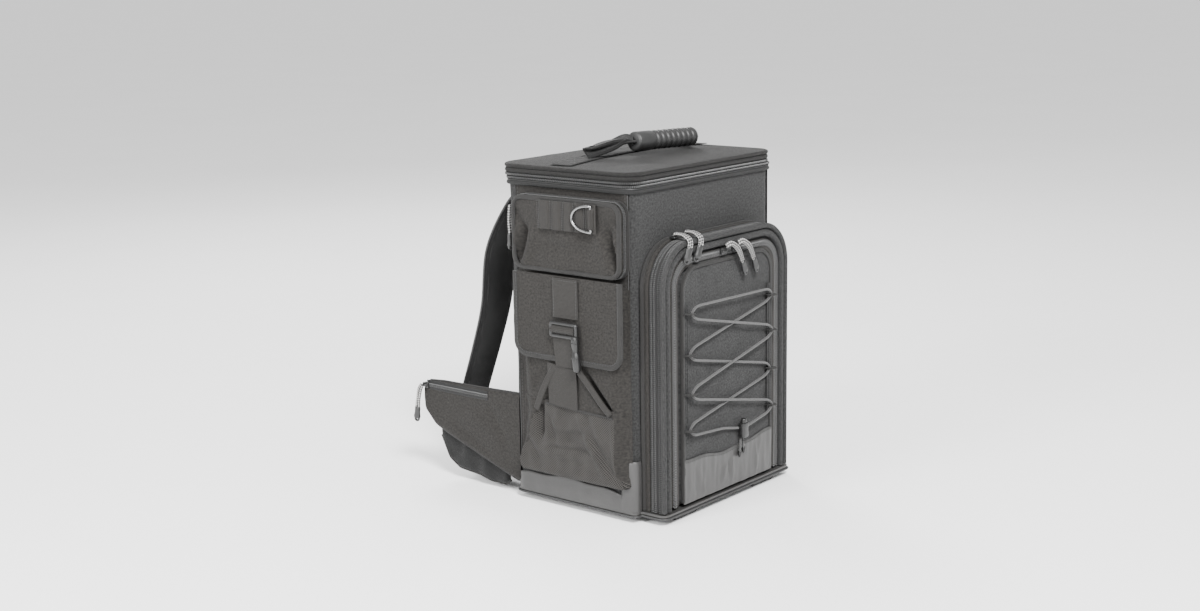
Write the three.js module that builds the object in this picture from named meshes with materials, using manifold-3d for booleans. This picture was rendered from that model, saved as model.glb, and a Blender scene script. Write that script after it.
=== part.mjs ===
// Tackle backpack: a boxy fabric pack with a hinged lid, a hinged front door with a pocket on it,
// side pockets, two shoulder straps and two hip wings. Millimetres, +Z up, front towards -Y.
import * as THREE from 'three';
import { mergeVertices } from 'three/addons/utils/BufferGeometryUtils.js';
import Module from 'manifold-3d';

const wasm = await Module();
wasm.setup();

// Driving dimensions. Heights are above the floor; depths are from the body's centre plane.
const BODY = { width: 326, depth: 214, wall: 8, corner: 16, bottom: 15.3, top: 459.8 };
const GAP = 0.3;
const RUNNER = { width: 50, height: 8, offset: 95, front: -142, back: 95 };
const WELT = { bottom: 8.3, top: 11.4, out: 5, inset: 6 };
const BOOT = { bottom: 11.7, floorTop: 15, wallTop: 46, skin: 3 };
const LID = { bottom: 461, rim: 478, crown: 7, overhang: 4, rear: 125, corner: 26 };
const LID_ZIP = { bottom: 449, top: 460.5, skin: 3.5 };
const DOOR = { half: 150, bottom: 17, top: 383, corner: 62, gusset: 9, rim: 19 };
const DOOR_DEPTH = { frame: 121.5, back: 122, plate: 136, front: 146.6 };
const POCKET = { half: 108, bottom: 20, top: 349, corner: 35, back: 136.4, front: 147 };
const POCKET_ZIP = { half: 109.5, top: 350.5, front: 144 };
const KICK = { half: 107, bottom: 22, top: 76, front: 149.2 };
const DIVIDER = { bottom: 296, thickness: 5 };
const BUNGEE = { radius: 1.7, inner: 150.9, outer: 154.9, loopX: 99 };
const LACE_LEFT = [285, 228, 174, 123];
const LACE_RIGHT = [280, 229, 173, 119];
const LOCK = { x: 25, bottom: 86, height: 22, width: 15, depth: 11, bore: 4.8 };
const BUTTON = { radius: 4.4, length: 12, proud: 6 };
const SIDE = BODY.width / 2;
const BACK = BODY.depth / 2;
const SIDE_PULL = { y: 91.5, z: 419 };
const RING = { width: 36, height: 38, wire: 3 };
const HANDLE = { anchorX: 97, anchorY: 18, anchorZ: 492.5, strap: 12, thick: 4 };
const GRIP_ENDS = [new THREE.Vector3(-57, -29, 505), new THREE.Vector3(70, -35, 501)];
const GRIP = { radius: 13.5, waist: 11.2, bore: 8.6, ribs: 8, collar: 0.27 };
const PAD = { width: 68, thickness: 10 };
const WING = { inner: 151, outer: 165 };
const WEBBING = 25;

const CLOTH = { front: 0x4b4b4d, side: 0x4a4744, strap: 0x1e1e1f, mesh: 0x3a3835, vinyl: 0x7b7a77 };
const cloth = (color) => new THREE.MeshStandardMaterial({ color, roughness: 0.9, metalness: 0 });
const plastic = (color) => new THREE.MeshStandardMaterial({ color, roughness: 0.45, metalness: 0 });
const steel = () => new THREE.MeshStandardMaterial({ color: 0xb9b9b6, roughness: 0.3, metalness: 1 });

// Solids: three.js geometry goes into manifold for joins and cuts, and comes back as geometry.
function solid(geometry) {
  const bare = geometry.clone();
  bare.deleteAttribute('normal');
  bare.deleteAttribute('uv');
  const merged = mergeVertices(bare, 1e-4);
  const index = merged.index.array;
  return new wasm.Manifold(new wasm.Mesh({
    numProp: 3,
    vertProperties: new Float32Array(merged.attributes.position.array),
    triVerts: new Uint32Array(index),
  }));
}

function geometryOf(body) {
  const mesh = body.getMesh();
  const geometry = new THREE.BufferGeometry();
  geometry.setAttribute('position', new THREE.BufferAttribute(mesh.vertProperties, 3));
  geometry.setIndex(new THREE.BufferAttribute(mesh.triVerts, 1));
  geometry.computeVertexNormals();
  return geometry;
}

const cut = (geometry, ...tools) => geometryOf(tools.reduce((s, t) => s.subtract(solid(t)), solid(geometry)));
const join = (...pieces) => geometryOf(pieces.map(solid).reduce((a, b) => a.add(b)));
const keep = (geometry, tool) => geometryOf(solid(geometry).intersect(solid(tool)));

// Outlines.
function roundedBox(x0, x1, y0, y1, r) {
  const shape = new THREE.Shape();
  shape.moveTo(x0 + r, y0);
  shape.lineTo(x1 - r, y0);
  shape.absarc(x1 - r, y0 + r, r, -Math.PI / 2, 0);
  shape.lineTo(x1, y1 - r);
  shape.absarc(x1 - r, y1 - r, r, 0, Math.PI / 2);
  shape.lineTo(x0 + r, y1);
  shape.absarc(x0 + r, y1 - r, r, Math.PI / 2, Math.PI);
  shape.lineTo(x0, y0 + r);
  shape.absarc(x0 + r, y0 + r, r, Math.PI, 1.5 * Math.PI);
  return shape;
}

function arch(half, bottom, top, r) {
  const shape = new THREE.Shape();
  shape.moveTo(-half, bottom);
  shape.lineTo(half, bottom);
  shape.lineTo(half, top - r);
  shape.absarc(half - r, top - r, r, 0, Math.PI / 2);
  shape.lineTo(-half + r, top);
  shape.absarc(-half + r, top - r, r, Math.PI / 2, Math.PI);
  return shape;
}

function polygon(points) {
  return new THREE.Shape(points.map(([x, y]) => new THREE.Vector2(x, y)));
}

// A prism of an outline from one height to another, with its edges bevelled if asked.
function prism(shape, from, to, bevel = 0, curveSegments = 3) {
  const geometry = new THREE.ExtrudeGeometry(shape, {
    depth: to - from - 2 * bevel,
    bevelEnabled: bevel > 0,
    bevelThickness: bevel,
    bevelSize: bevel,
    bevelOffset: -bevel,
    bevelSegments: 1,
    curveSegments,
  });
  return geometry.translate(0, 0, from + bevel);
}

const block = (x0, x1, y0, y1, z0, z1) => prism(polygon([[x0, y0], [x1, y0], [x1, y1], [x0, y1]]), z0, z1);

// A round cord along a curve.
function cord(points, radius, { steps = 20, sides = 8 } = {}) {
  const section = [...Array(sides).keys()].map((i) => {
    const a = (2 * Math.PI * i) / sides;
    return [radius * Math.cos(a), radius * Math.sin(a)];
  });
  const path = new THREE.CatmullRomCurve3(points.map((p) => new THREE.Vector3(...p)));
  return new THREE.ExtrudeGeometry(polygon(section), { steps, bevelEnabled: false, extrudePath: path });
}

// A flat strap along a curve: a prism one unit long whose vertices are carried onto the curve.
function strap(points, width, thickness, { steps = 12, across = [1, 0, 0], ends = [1, 1] } = {}) {
  const path = new THREE.CatmullRomCurve3(points.map((p) => new THREE.Vector3(...p)));
  const r = Math.min(thickness, width) * 0.35;
  const shape = roundedBox(-width / 2, width / 2, -thickness / 2, thickness / 2, r);
  const geometry = new THREE.ExtrudeGeometry(shape, { depth: 1, steps, bevelEnabled: false, curveSegments: 1 });
  const position = geometry.attributes.position;
  const wide = new THREE.Vector3(...across);
  for (let i = 0; i < position.count; i += 1) {
    const t = Math.min(1, Math.max(0, position.getZ(i)));
    const along = path.getTangentAt(t);
    const side = wide.clone().addScaledVector(along, -wide.dot(along)).normalize();
    const normal = new THREE.Vector3().crossVectors(along, side);
    const taper = THREE.MathUtils.lerp(ends[0], ends[1], t);
    const point = path.getPointAt(t).addScaledVector(side, position.getX(i) * taper);
    point.addScaledVector(normal, position.getY(i));
    position.setXYZ(i, point.x, point.y, point.z);
  }
  return geometry;
}

const pack = new THREE.Group();
const framed = new THREE.Group();
pack.add(framed);

// Each face of the pack is a group whose local x runs to the right as that face is looked at,
// y runs up, and z runs outwards from the body's centre.
function face(turn) {
  const spin = new THREE.Group();
  const upright = new THREE.Group();
  spin.rotation.z = turn;
  upright.rotation.x = Math.PI / 2;
  spin.add(upright);
  framed.add(spin);
  return upright;
}

const front = face(0);
const left = face(-Math.PI / 2);
const right = face(Math.PI / 2);
const back = face(Math.PI);

function part(name, geometry, material, parent = framed) {
  const mesh = new THREE.Mesh(geometry, material);
  mesh.name = name;
  parent.add(mesh);
  return mesh;
}

// The pack's footprint, with the door's thickness added in front, grown by an offset.
function footprint(grow, from, to, bevel = 0) {
  const half = SIDE + grow;
  const deep = BACK + grow;
  const doorFront = -(DOOR_DEPTH.front + grow);
  const base = roundedBox(-half, half, -deep, deep, BODY.corner);
  const step = roundedBox(-DOOR.half - grow, DOOR.half + grow, doorFront, 0, BODY.corner * 0.6);
  return join(prism(base, from, to, bevel), prism(step, from, to, bevel));
}

function addBody() {
  const { width, depth, wall, corner, bottom, top } = BODY;
  const outer = roundedBox(-width / 2, width / 2, -depth / 2, depth / 2, corner);
  const inset = wall;
  const inner = roundedBox(-SIDE + inset, SIDE - inset, -BACK + inset, BACK - inset, corner - inset);
  const windowHalf = DOOR.half - DOOR.gusset;
  const windowTop = DOOR.top - DOOR.gusset - 4;
  const windowShape = arch(windowHalf, bottom + wall + 1, windowTop, DOOR.corner - DOOR.gusset);
  const windowTool = prism(windowShape, BACK - wall - 4, BACK + 4).rotateX(Math.PI / 2);
  const shell = cut(prism(outer, bottom, top), prism(inner, bottom + wall, top + 1), windowTool);
  part('body_shell', shell, cloth(CLOTH.front));

  const shelf = roundedBox(-SIDE + wall + GAP, SIDE - wall - GAP, -BACK + wall + GAP, BACK - wall - GAP, BODY.corner - wall);
  part('divider_board', prism(shelf, DIVIDER.bottom, DIVIDER.bottom + DIVIDER.thickness), plastic(0x2b2b2c));
}

function addBase() {
  const inside = roundedBox(-SIDE - GAP, SIDE + GAP, -BACK - GAP, BACK + GAP, BODY.corner);
  const outside = roundedBox(
    -SIDE - BOOT.skin, SIDE + BOOT.skin, -BACK - BOOT.skin, BACK + BOOT.skin, BODY.corner,
  );
  const clear = block(-DOOR.half - 2, DOOR.half + 2, -BACK - 10, -BACK + 20, BOOT.floorTop, BOOT.wallTop + 1);
  const wall = cut(
    prism(outside, BOOT.floorTop - 1, BOOT.wallTop), prism(inside, BOOT.floorTop, BOOT.wallTop + 1), clear,
  );
  part('base_boot', join(footprint(BOOT.skin - 1, BOOT.bottom, BOOT.floorTop), wall), plastic(CLOTH.vinyl));
  const ring = cut(
    footprint(WELT.out - 1, WELT.bottom, WELT.top, 1), footprint(-WELT.inset, WELT.bottom - 1, WELT.top + 1),
  );
  part('bottom_welt', ring, plastic(0x161616));
  for (const [name, x] of [['left_runner', -RUNNER.offset], ['right_runner', RUNNER.offset]]) {
    const shape = roundedBox(x - RUNNER.width / 2, x + RUNNER.width / 2, RUNNER.front, RUNNER.back, 8);
    part(name, prism(shape, 0, RUNNER.height, 1.5, 3), plastic(0x151515));
  }
}

function addBackPad() {
  const panel = prism(roundedBox(-132, 132, 48, 404, 26), BACK + GAP, BACK + 17, 4);
  const channel = block(-3.5, 3.5, 60, 380, BACK + 12, BACK + 18);
  const yoke = prism(roundedBox(-140, 140, 398, 446, 8), BACK + GAP, BACK + 2.7);
  part('back_pad', join(cut(panel, channel), yoke), cloth(CLOTH.strap), back);
}

function addLid() {
  const half = SIDE + LID.overhang;
  const deep = BACK + LID.overhang;
  const outline = prism(roundedBox(-half, half, -deep, LID.rear, LID.corner), LID.bottom, LID.rim + 20, 0);
  const middle = (LID.rear - deep) / 2;
  const reach = (LID.rear + deep) / 2 + 1;
  const slab = new THREE.BoxGeometry(2 * half + 2, 2 * reach, LID.rim - LID.bottom, 12, 8, 1);
  slab.translate(0, middle, (LID.rim + LID.bottom) / 2);
  const position = slab.attributes.position;
  for (let i = 0; i < position.count; i += 1) {
    if (position.getZ(i) > LID.rim - 1) {
      const u = position.getX(i) / (half + 1);
      const v = (position.getY(i) - middle) / reach;
      position.setZ(i, LID.rim + LID.crown * (1 - u * u) * (1 - v * v));
    }
  }
  part('lid_panel', keep(slab, outline), cloth(CLOTH.front));

  const inner = roundedBox(-SIDE - GAP, SIDE + GAP, -BACK - GAP, BACK + GAP, BODY.corner);
  const skin = LID_ZIP.skin;
  const outer = roundedBox(-SIDE - skin, SIDE + skin, -BACK - skin, BACK + skin, LID.corner - 8);
  const openBack = block(-SIDE + 20, SIDE - 20, BACK - 20, BACK + 10, LID_ZIP.bottom - 1, LID_ZIP.top + 1);
  const band = cut(prism(outer, LID_ZIP.bottom, LID_ZIP.top, 1), prism(inner, LID_ZIP.bottom - 1, LID_ZIP.top + 1),
    openBack);
  part('lid_zip_lower', band, cloth(0x232324));
}

function addHandle() {
  const { anchorX, anchorY, anchorZ, strap: wide, thick } = HANDLE;
  const strip = prism(roundedBox(-158, 158, anchorY - 19, anchorY + 19, 4), LID.rim - 2, LID.rim + 20);
  const onLid = (height) => framed.getObjectByName('lid_panel').geometry.clone().translate(0, 0, height);
  part('handle_strap', cut(keep(strip, onLid(GAP + 2.6)), onLid(GAP)), cloth(CLOTH.strap));

  const [a, b] = GRIP_ENDS;
  const along = b.clone().sub(a);
  const length = along.length();
  const profile = [[GRIP.bore, 0], [GRIP.radius - 1.5, 0], [GRIP.radius, 2], [GRIP.radius, length * GRIP.collar]];
  const pitch = (length * (1 - GRIP.collar) - 4) / GRIP.ribs;
  for (let i = 0; i < GRIP.ribs; i += 1) {
    const start = length * GRIP.collar + i * pitch;
    profile.push([GRIP.waist, start + 0.5], [GRIP.waist, start + 0.3 * pitch]);
    profile.push([GRIP.radius, start + 0.5 * pitch], [GRIP.radius, start + 0.9 * pitch]);
  }
  profile.push([GRIP.radius - 3, length], [GRIP.bore, length], [GRIP.bore, 0]);
  const grip = new THREE.LatheGeometry(profile.map(([r, h]) => new THREE.Vector2(r, h)), 12);
  const mesh = part('handle_grip', geometryOf(solid(grip)), plastic(0x252526));
  mesh.position.copy(a);
  mesh.quaternion.setFromUnitVectors(new THREE.Vector3(0, 1, 0), along.normalize());

  const foot = anchorX - 2;
  const loop = strap([
    [-foot, anchorY, anchorZ - 0.6], [-foot + 12, anchorY - 12, anchorZ + 5],
    [a.x - 10, a.y + 6, a.z - 1], [a.x, a.y, a.z], [(a.x + b.x) / 2, (a.y + b.y) / 2, (a.z + b.z) / 2],
    [b.x, b.y, b.z], [b.x + 10, b.y + 8, b.z - 2], [foot - 6, anchorY - 12, anchorZ + 4],
    [foot, anchorY, anchorZ - 0.6],
  ], wide, thick, { steps: 26, across: [0, 1, 0] });
  part('handle_loop', loop, cloth(CLOTH.strap));
}

function addDoor() {
  const { half, bottom, top, corner, gusset, rim } = DOOR;
  const frameOut = arch(half, bottom - 1, top, corner);
  const frameIn = arch(half - gusset, bottom - 9, top - gusset, corner - gusset);
  const frame = cut(prism(frameOut, BACK + GAP, DOOR_DEPTH.frame), prism(frameIn, BACK - 1, DOOR_DEPTH.frame + 1));
  part('door_frame', frame, cloth(CLOTH.front), front);

  const outer = arch(half - 0.5, bottom, top - 0.5, corner - 0.5);
  const recess = arch(half - rim, bottom - 9, top - rim, corner - rim);
  const door = cut(prism(outer, DOOR_DEPTH.back, DOOR_DEPTH.front, 2), prism(recess, DOOR_DEPTH.plate, 160));
  part('door_panel', door, cloth(CLOTH.front), front);

  const zipOut = arch(half - rim - GAP, POCKET.bottom, top - rim - GAP, corner - rim - GAP);
  const zipIn = arch(POCKET_ZIP.half, POCKET.bottom - 9, POCKET_ZIP.top, POCKET.corner + 1);
  const zip = cut(prism(zipOut, DOOR_DEPTH.plate + GAP, POCKET_ZIP.front), prism(zipIn, 100, 160));
  part('door_pocket_zip', zip, cloth(0x2a2a2b), front);
}

function addPocket() {
  const { half, bottom, top, corner } = POCKET;
  part('pocket_panel', prism(arch(half, bottom, top, corner), POCKET.back, POCKET.front, 2), cloth(CLOTH.front), front);

  const wave = [...Array(9).keys()].map((i) => {
    const x = KICK.half * (1 - i / 4);
    return [x, KICK.top - 4 * Math.cos((Math.PI * x) / KICK.half)];
  });
  const kick = polygon([[-KICK.half, KICK.bottom], [KICK.half, KICK.bottom], ...wave]);
  part('kick_panel', prism(kick, POCKET.front + GAP, KICK.front), plastic(CLOTH.vinyl), front);

  for (const [name, side] of [['loop_tape_left', -1], ['loop_tape_right', 1]]) {
    const tape = roundedBox(side * 98 - 4, side * 98 + 4, 106, 296, 2);
    part(name, prism(tape, POCKET.front + GAP, POCKET.front + 1.8), cloth(CLOTH.strap), front);
  }
  addBungee();
}

// One cord laced between four loops on each side, its two ends in a cord lock.
function addBungee() {
  const { inner, outer, loopX } = BUNGEE;
  const [l1, l2, l3, l4] = LACE_LEFT;
  const [r1, r2, r3, r4] = LACE_RIGHT;
  const turn = (side, height, from, depth) => [
    [side * (loopX - 12), height + 9 * from, depth], [side * loopX, height, depth],
    [side * (loopX - 12), height - 9 * from, depth],
  ];
  const lockTop = LOCK.bottom + 15;
  const route = [
    [LOCK.x - LOCK.width / 2 - GAP, lockTop, inner], [LOCK.x - 45, l4 - 14, inner],
    ...turn(-1, l4, -1, inner), ...turn(1, r3, -1, inner), ...turn(-1, l2, -1, inner),
    [loopX - 12, r1 - 9, inner], [loopX, r1, (inner + outer) / 2], [loopX - 12, r1 + 10, outer],
    ...turn(-1, l1, 1, outer), ...turn(1, r2, 1, outer), ...turn(-1, l3, 1, outer), ...turn(1, r4, 1, outer),
    [LOCK.x + LOCK.width / 2 + GAP, lockTop, outer],
  ];
  const cordGeometry = cord(route, BUNGEE.radius, { steps: 110, sides: 5 });
  part('bungee_cord', cordGeometry, cloth(0x8c8c8c), front);

  const lockBack = POCKET.front + 2.4;
  const middle = lockBack + LOCK.depth / 2;
  const body = prism(
    roundedBox(LOCK.x - LOCK.width / 2, LOCK.x + LOCK.width / 2, LOCK.bottom, LOCK.bottom + LOCK.height, 4),
    lockBack, lockBack + LOCK.depth, 1.5,
  );
  const lockEnd = LOCK.bottom + LOCK.height;
  const bore = new THREE.CylinderGeometry(LOCK.bore, LOCK.bore, 24, 12);
  bore.translate(LOCK.x, lockEnd, middle);
  part('cord_lock', cut(body, bore), plastic(0x1a1a1b), front);
  const button = new THREE.CylinderGeometry(BUTTON.radius, BUTTON.radius, BUTTON.length, 12);
  const buttonMesh = part('cord_lock_button', geometryOf(solid(button)), plastic(0x1a1a1b), front);
  buttonMesh.position.set(LOCK.x, lockEnd + BUTTON.proud - BUTTON.length / 2, middle);
}

// A D-ring standing on its straight bar, at local x = 0, its bow to local -x.
function ringGeometry() {
  const w = RING.wire / 2;
  const bow = [...Array(9).keys()].map((i) => {
    const a = Math.PI / 2 + (Math.PI * i) / 8;
    return [(RING.width - RING.wire) * Math.cos(a), (RING.height / 2 - w) * Math.sin(a), 0];
  });
  const wire = cord(bow, w, { steps: 14, sides: 6 });
  const bar = new THREE.CylinderGeometry(w, w, RING.height - 0.2, 8);
  return join(wire, bar);
}

// Webbing with a tunnel block that holds the ring's bar at local (x, y).
function ringTab(x, y, x0, x1, y0, y1, base) {
  const tape = prism(roundedBox(x0, x1, y0, y1, 2), base, base + 2);
  const tunnel = block(x - 4.5, x + 4.5, y - 12, y + 12, base + 1, base + 8.4);
  const bore = new THREE.CylinderGeometry(RING.wire / 2 + 0.7, RING.wire / 2 + 0.7, 60, 10);
  bore.translate(x, y, base + 5);
  return cut(join(tape, tunnel), bore);
}

function addRings() {
  const base = 185.8;
  part('left_daisy_webbing', ringTab(60, 416, -35, 66, 396, 436, base), cloth(CLOTH.strap), left);
  const ring = part('left_d_ring', ringGeometry(), steel(), left);
  ring.position.set(60, 416, base + 5);
  const tabX = -84;
  part('right_ring_tab', ringTab(tabX, 396, tabX - 12, tabX + 12, 366, 422, SIDE + GAP), cloth(CLOTH.strap), right);
  const mirror = part('right_d_ring', ringGeometry(), steel(), right);
  mirror.rotation.z = Math.PI;
  mirror.position.set(tabX, 396, SIDE + GAP + 5);
}

function addLeftSide() {
  const upper = prism(roundedBox(-88, 104, 336, 440, 18), SIDE + GAP, 185.5, 3);
  part('left_zip_pocket', upper, cloth(CLOTH.side), left);

  const sleeve = cut(
    block(-86, 102, 158, 325, SIDE + GAP, 181), block(-83.5, 99.5, 150, 330, SIDE - 1, 178.5),
  );
  part('left_pocket_body', sleeve, cloth(CLOTH.side), left);
  const bucket = cut(
    prism(roundedBox(-88, 104, 50, 157.6, 8), SIDE + GAP, 183.5, 2),
    block(-84.5, 100.5, 54, 160, SIDE - 1, 180.5),
  );
  part('left_pocket_mesh', bucket, cloth(CLOTH.mesh), left);

  const flap = prism(roundedBox(-85, 105, 215, 333, 22), 181.8, 186, 1);
  const squareTop = prism(roundedBox(-85, 105, 290, 333, 2), 181.8, 186, 1);
  part('left_flap', join(flap, squareTop), cloth(CLOTH.side), left);
  part('left_flap_strap', prism(roundedBox(-12, 32, 276, 331, 2), 186.3, 188.3), cloth(CLOTH.strap), left);
  const buckle = cut(
    prism(roundedBox(-16, 36, 206, 274, 6), 186.4, 197, 2), block(-11, 31, 258, 266, 180, 200),
  );
  part('left_buckle', buckle, plastic(0x1a1a1b), left);
}

function addRightSide() {
  part('right_zip_pocket', prism(roundedBox(-44, 88, 290, 394, 18), SIDE + GAP, 183, 3), cloth(CLOTH.side), right);
  const bottle = cut(
    prism(roundedBox(-55, 88, 50, 250, 14), SIDE + GAP, 200, 4),
    block(-51, 84, 54, 260, SIDE - 1, 197),
  );
  part('right_mesh_pocket', bottle, cloth(CLOTH.mesh), right);
}

// Everything on the back comes in a left and a right copy, made for x < 0 and mirrored.
function mirrored(geometry, side) {
  if (side < 0) {
    return geometry;
  }
  const copy = geometry.clone().scale(-1, 1, 1);
  const index = copy.index ?? { array: null };
  if (index.array) {
    for (let i = 0; i < index.array.length; i += 3) {
      [index.array[i], index.array[i + 1]] = [index.array[i + 1], index.array[i]];
    }
    return copy;
  }
  const position = copy.attributes.position;
  for (let i = 0; i < position.count; i += 3) {
    for (const read of ['getX', 'getY', 'getZ']) {
      const write = read.replace('get', 'set');
      const first = position[read](i);
      position[write](i, position[read](i + 1));
      position[write](i + 1, first);
    }
  }
  return copy;
}

function addStraps(label, side) {
  const pad = strap([
    [-85, 121, 438], [-90, 150, 412], [-95, 187, 345], [-96, 200, 262], [-98, 218, 200],
    [-102, 237, 140], [-107, 250, 92], [-110, 249, 54], [-114, 234, 31],
  ], PAD.width, PAD.thickness, { steps: 22, ends: [1, 0.8] });
  part(`${label}_shoulder_pad`, mirrored(pad, side), cloth(CLOTH.strap));
  const lock = prism(roundedBox(-134, -102, 206, 227, 3), 17, 24, 1);
  part(`${label}_ladder_lock`, mirrored(lock, side), plastic(0x151515));
  const webbing = strap([[-118, 204.6, 20], [-120, 170, 18], [-123, 135, 19], [-125, 114, 24]], WEBBING, 2, { steps: 8 });
  part(`${label}_shoulder_webbing`, mirrored(webbing, side), cloth(CLOTH.strap));
}

function addWing(label, side) {
  const outline = polygon([
    [-110, 22], [-110, 149], [-180, 147], [-250, 146], [-284, 143], [-291, 134], [-289, 100], [-270, 80],
    [-250, 71], [-162, 40],
  ].reverse());
  const wing = prism(outline, WING.inner, WING.outer, 3).rotateX(Math.PI / 2).rotateZ(-Math.PI / 2);
  part(`${label}_hip_wing`, mirrored(wing, side), cloth(CLOTH.side));
  const buckle = prism(roundedBox(-288, -262, 98, 134, 3), 141, WING.inner - GAP, 1);
  buckle.rotateX(Math.PI / 2).rotateZ(-Math.PI / 2);
  part(`${label}_hip_buckle`, mirrored(buckle, side), plastic(0x151515));
}

// Zip sliders are small rounded blocks; a pull is a short stiff cord with a thicker moulded end.
const sliderBlock = (w, h, d) => prism(roundedBox(-w / 2, w / 2, -h / 2, h / 2, 2), 0, d, 0, 1);

function pullCord(points) {
  const end = points[points.length - 1];
  const before = points[points.length - 2];
  const dir = new THREE.Vector3(...end).sub(new THREE.Vector3(...before)).normalize();
  const tip = new THREE.Vector3(...end).addScaledVector(dir, 14).toArray();
  return join(cord(points, 2.6, { steps: 8, sides: 6 }), cord([end, tip], 3.6, { steps: 1, sides: 8 }));
}

function addFrontPulls() {
  const top = DOOR.top + GAP;
  for (const [i, x] of [[1, -93], [2, -68]]) {
    const slider = part(`door_slider_${i}`, sliderBlock(10, 14, 4), plastic(0x111111));
    slider.position.set(x, -124, top);
    const lean = i === 1 ? -6 : -8;
    const y = -DOOR_DEPTH.front;
    part(`door_pull_${i}`, pullCord([
      [x, -125, top + 7.4], [x, -138, top + 7], [x + lean / 3, y - 3, top + 2.5],
      [x + lean / 2, y - 6, top - 5], [x + lean, y - 5, top - 16],
    ]), cloth(0xd0cfc8));
  }
  for (const [i, x] of [[1, -16], [2, 11]]) {
    const slider = part(`pocket_slider_${i}`, sliderBlock(10, 12, 4), plastic(0x111111), front);
    slider.position.set(x, 358, POCKET.front + 0.6);
    part(`pocket_pull_${i}`, pullCord([
      [x, 366, 154.9], [x + 9, 368, 157], [x + 22, 360, 158], [x + 34, 346, 156], [x + 41, 333, 155],
    ]), cloth(0xd0cfc8), front);
  }
}

function addSidePulls() {
  const slider = part('left_pocket_slider', sliderBlock(10, 13, 4), plastic(0x111111), back);
  slider.position.set(175, SIDE_PULL.z, SIDE_PULL.y - 3.2);
  part('left_pocket_pull', pullCord([
    [175, SIDE_PULL.z + 3, 95.9], [175, SIDE_PULL.z - 6, 97.2], [175, SIDE_PULL.z - 25, 97.2],
    [175, SIDE_PULL.z - 44, 97],
  ]), cloth(0xd0cfc8), back);

  for (const [i, x] of [[1, 95], [2, 60]]) {
    const base = SIDE + LID.overhang + GAP;
    const body = sliderBlock(12, 12, 4).translate(x, 461, base);
    const pull = pullCord([[x, 460, base + 3], [x, 452, base + 4], [x, 436, base + 4], [x, 426, base + 4]]);
    part(`lid_slider_${i}`, join(body, pull), plastic(0x111111), right);
  }
  const pocketSlider = sliderBlock(12, 10, 4).translate(60, 400, 172);
  const hang = pullCord([[60, 401, 175], [60, 401, 184], [60, 391, 187.6], [60, 360, 187.6]]);
  part('right_pocket_slider', join(pocketSlider, hang), plastic(0x111111), right);
}

function addHipPulls() {
  const x = -WING.outer - 2;
  const slider = part('left_hip_slider', sliderBlock(13, 9, 4), plastic(0x111111), left);
  slider.position.set(-281, 138, WING.outer + GAP);
  part('left_hip_pull', pullCord([
    [x - 5.4, 284, 139], [x - 5.8, 289, 130], [x - 5.8, 293, 112], [x - 5.8, 295, 96],
  ]), cloth(0xd0cfc8));
  const body = sliderBlock(13, 9, 4).translate(281, 138, WING.outer + GAP);
  const hang = pullCord([
    [284, 139, WING.outer + 3.6], [288, 130, WING.outer + 4.4], [290, 112, WING.outer + 4.4],
    [291, 98, WING.outer + 4.4],
  ]);
  part('right_hip_slider', join(body, hang), plastic(0x111111), right);
}

addBody();
addBase();
addBackPad();
addLid();
addHandle();
addDoor();
addPocket();
addRings();
addLeftSide();
addRightSide();
for (const [label, side] of [['left', -1], ['right', 1]]) {
  addStraps(label, side);
  addWing(label, side);
}
addFrontPulls();
addSidePulls();
addHipPulls();

// The part's origin is the middle of its bounding box, at the floor.
pack.updateMatrixWorld(true);
const bounds = new THREE.Box3().setFromObject(pack, true);
const centre = bounds.getCenter(new THREE.Vector3());
framed.position.set(-centre.x, -centre.y, -bounds.min.z);

export default pack;
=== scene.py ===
"""Tackle backpack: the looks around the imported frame. Lengths here are millimetres about the body's
centre, with z measured from the floor; they become metres in the row frame when a piece is built."""
import math

import bmesh
import bpy
import numpy as np
from mathutils import Matrix, Vector


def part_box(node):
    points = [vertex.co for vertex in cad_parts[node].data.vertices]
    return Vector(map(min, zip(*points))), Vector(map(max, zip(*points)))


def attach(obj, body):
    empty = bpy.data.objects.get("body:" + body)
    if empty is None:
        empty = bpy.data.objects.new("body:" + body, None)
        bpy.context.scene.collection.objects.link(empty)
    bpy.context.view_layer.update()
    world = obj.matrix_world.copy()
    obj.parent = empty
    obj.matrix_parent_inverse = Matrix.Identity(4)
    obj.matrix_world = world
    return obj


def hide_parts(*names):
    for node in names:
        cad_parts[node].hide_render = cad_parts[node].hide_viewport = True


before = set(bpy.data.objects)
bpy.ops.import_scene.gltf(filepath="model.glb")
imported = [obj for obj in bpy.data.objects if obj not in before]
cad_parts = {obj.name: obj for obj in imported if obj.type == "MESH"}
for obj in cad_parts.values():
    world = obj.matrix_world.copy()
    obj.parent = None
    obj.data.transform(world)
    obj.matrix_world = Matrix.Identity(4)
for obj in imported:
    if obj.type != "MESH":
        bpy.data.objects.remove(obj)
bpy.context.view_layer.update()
SHELL_LOW, SHELL_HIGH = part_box("body_shell")
ORIGIN = np.array([(SHELL_LOW.x + SHELL_HIGH.x) / 2, (SHELL_LOW.y + SHELL_HIGH.y) / 2, 0.0])
MM = 1000.0


def span(node):
    """Lowest and highest corner of a CAD node, in millimetres about the body's centre."""
    low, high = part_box(node)
    return (np.array(low) - ORIGIN) * MM, (np.array(high) - ORIGIN) * MM


def row(point):
    """A point in millimetres about the body's centre, as metres in the row frame."""
    return Vector(np.array(point, float) / MM + ORIGIN)


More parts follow.
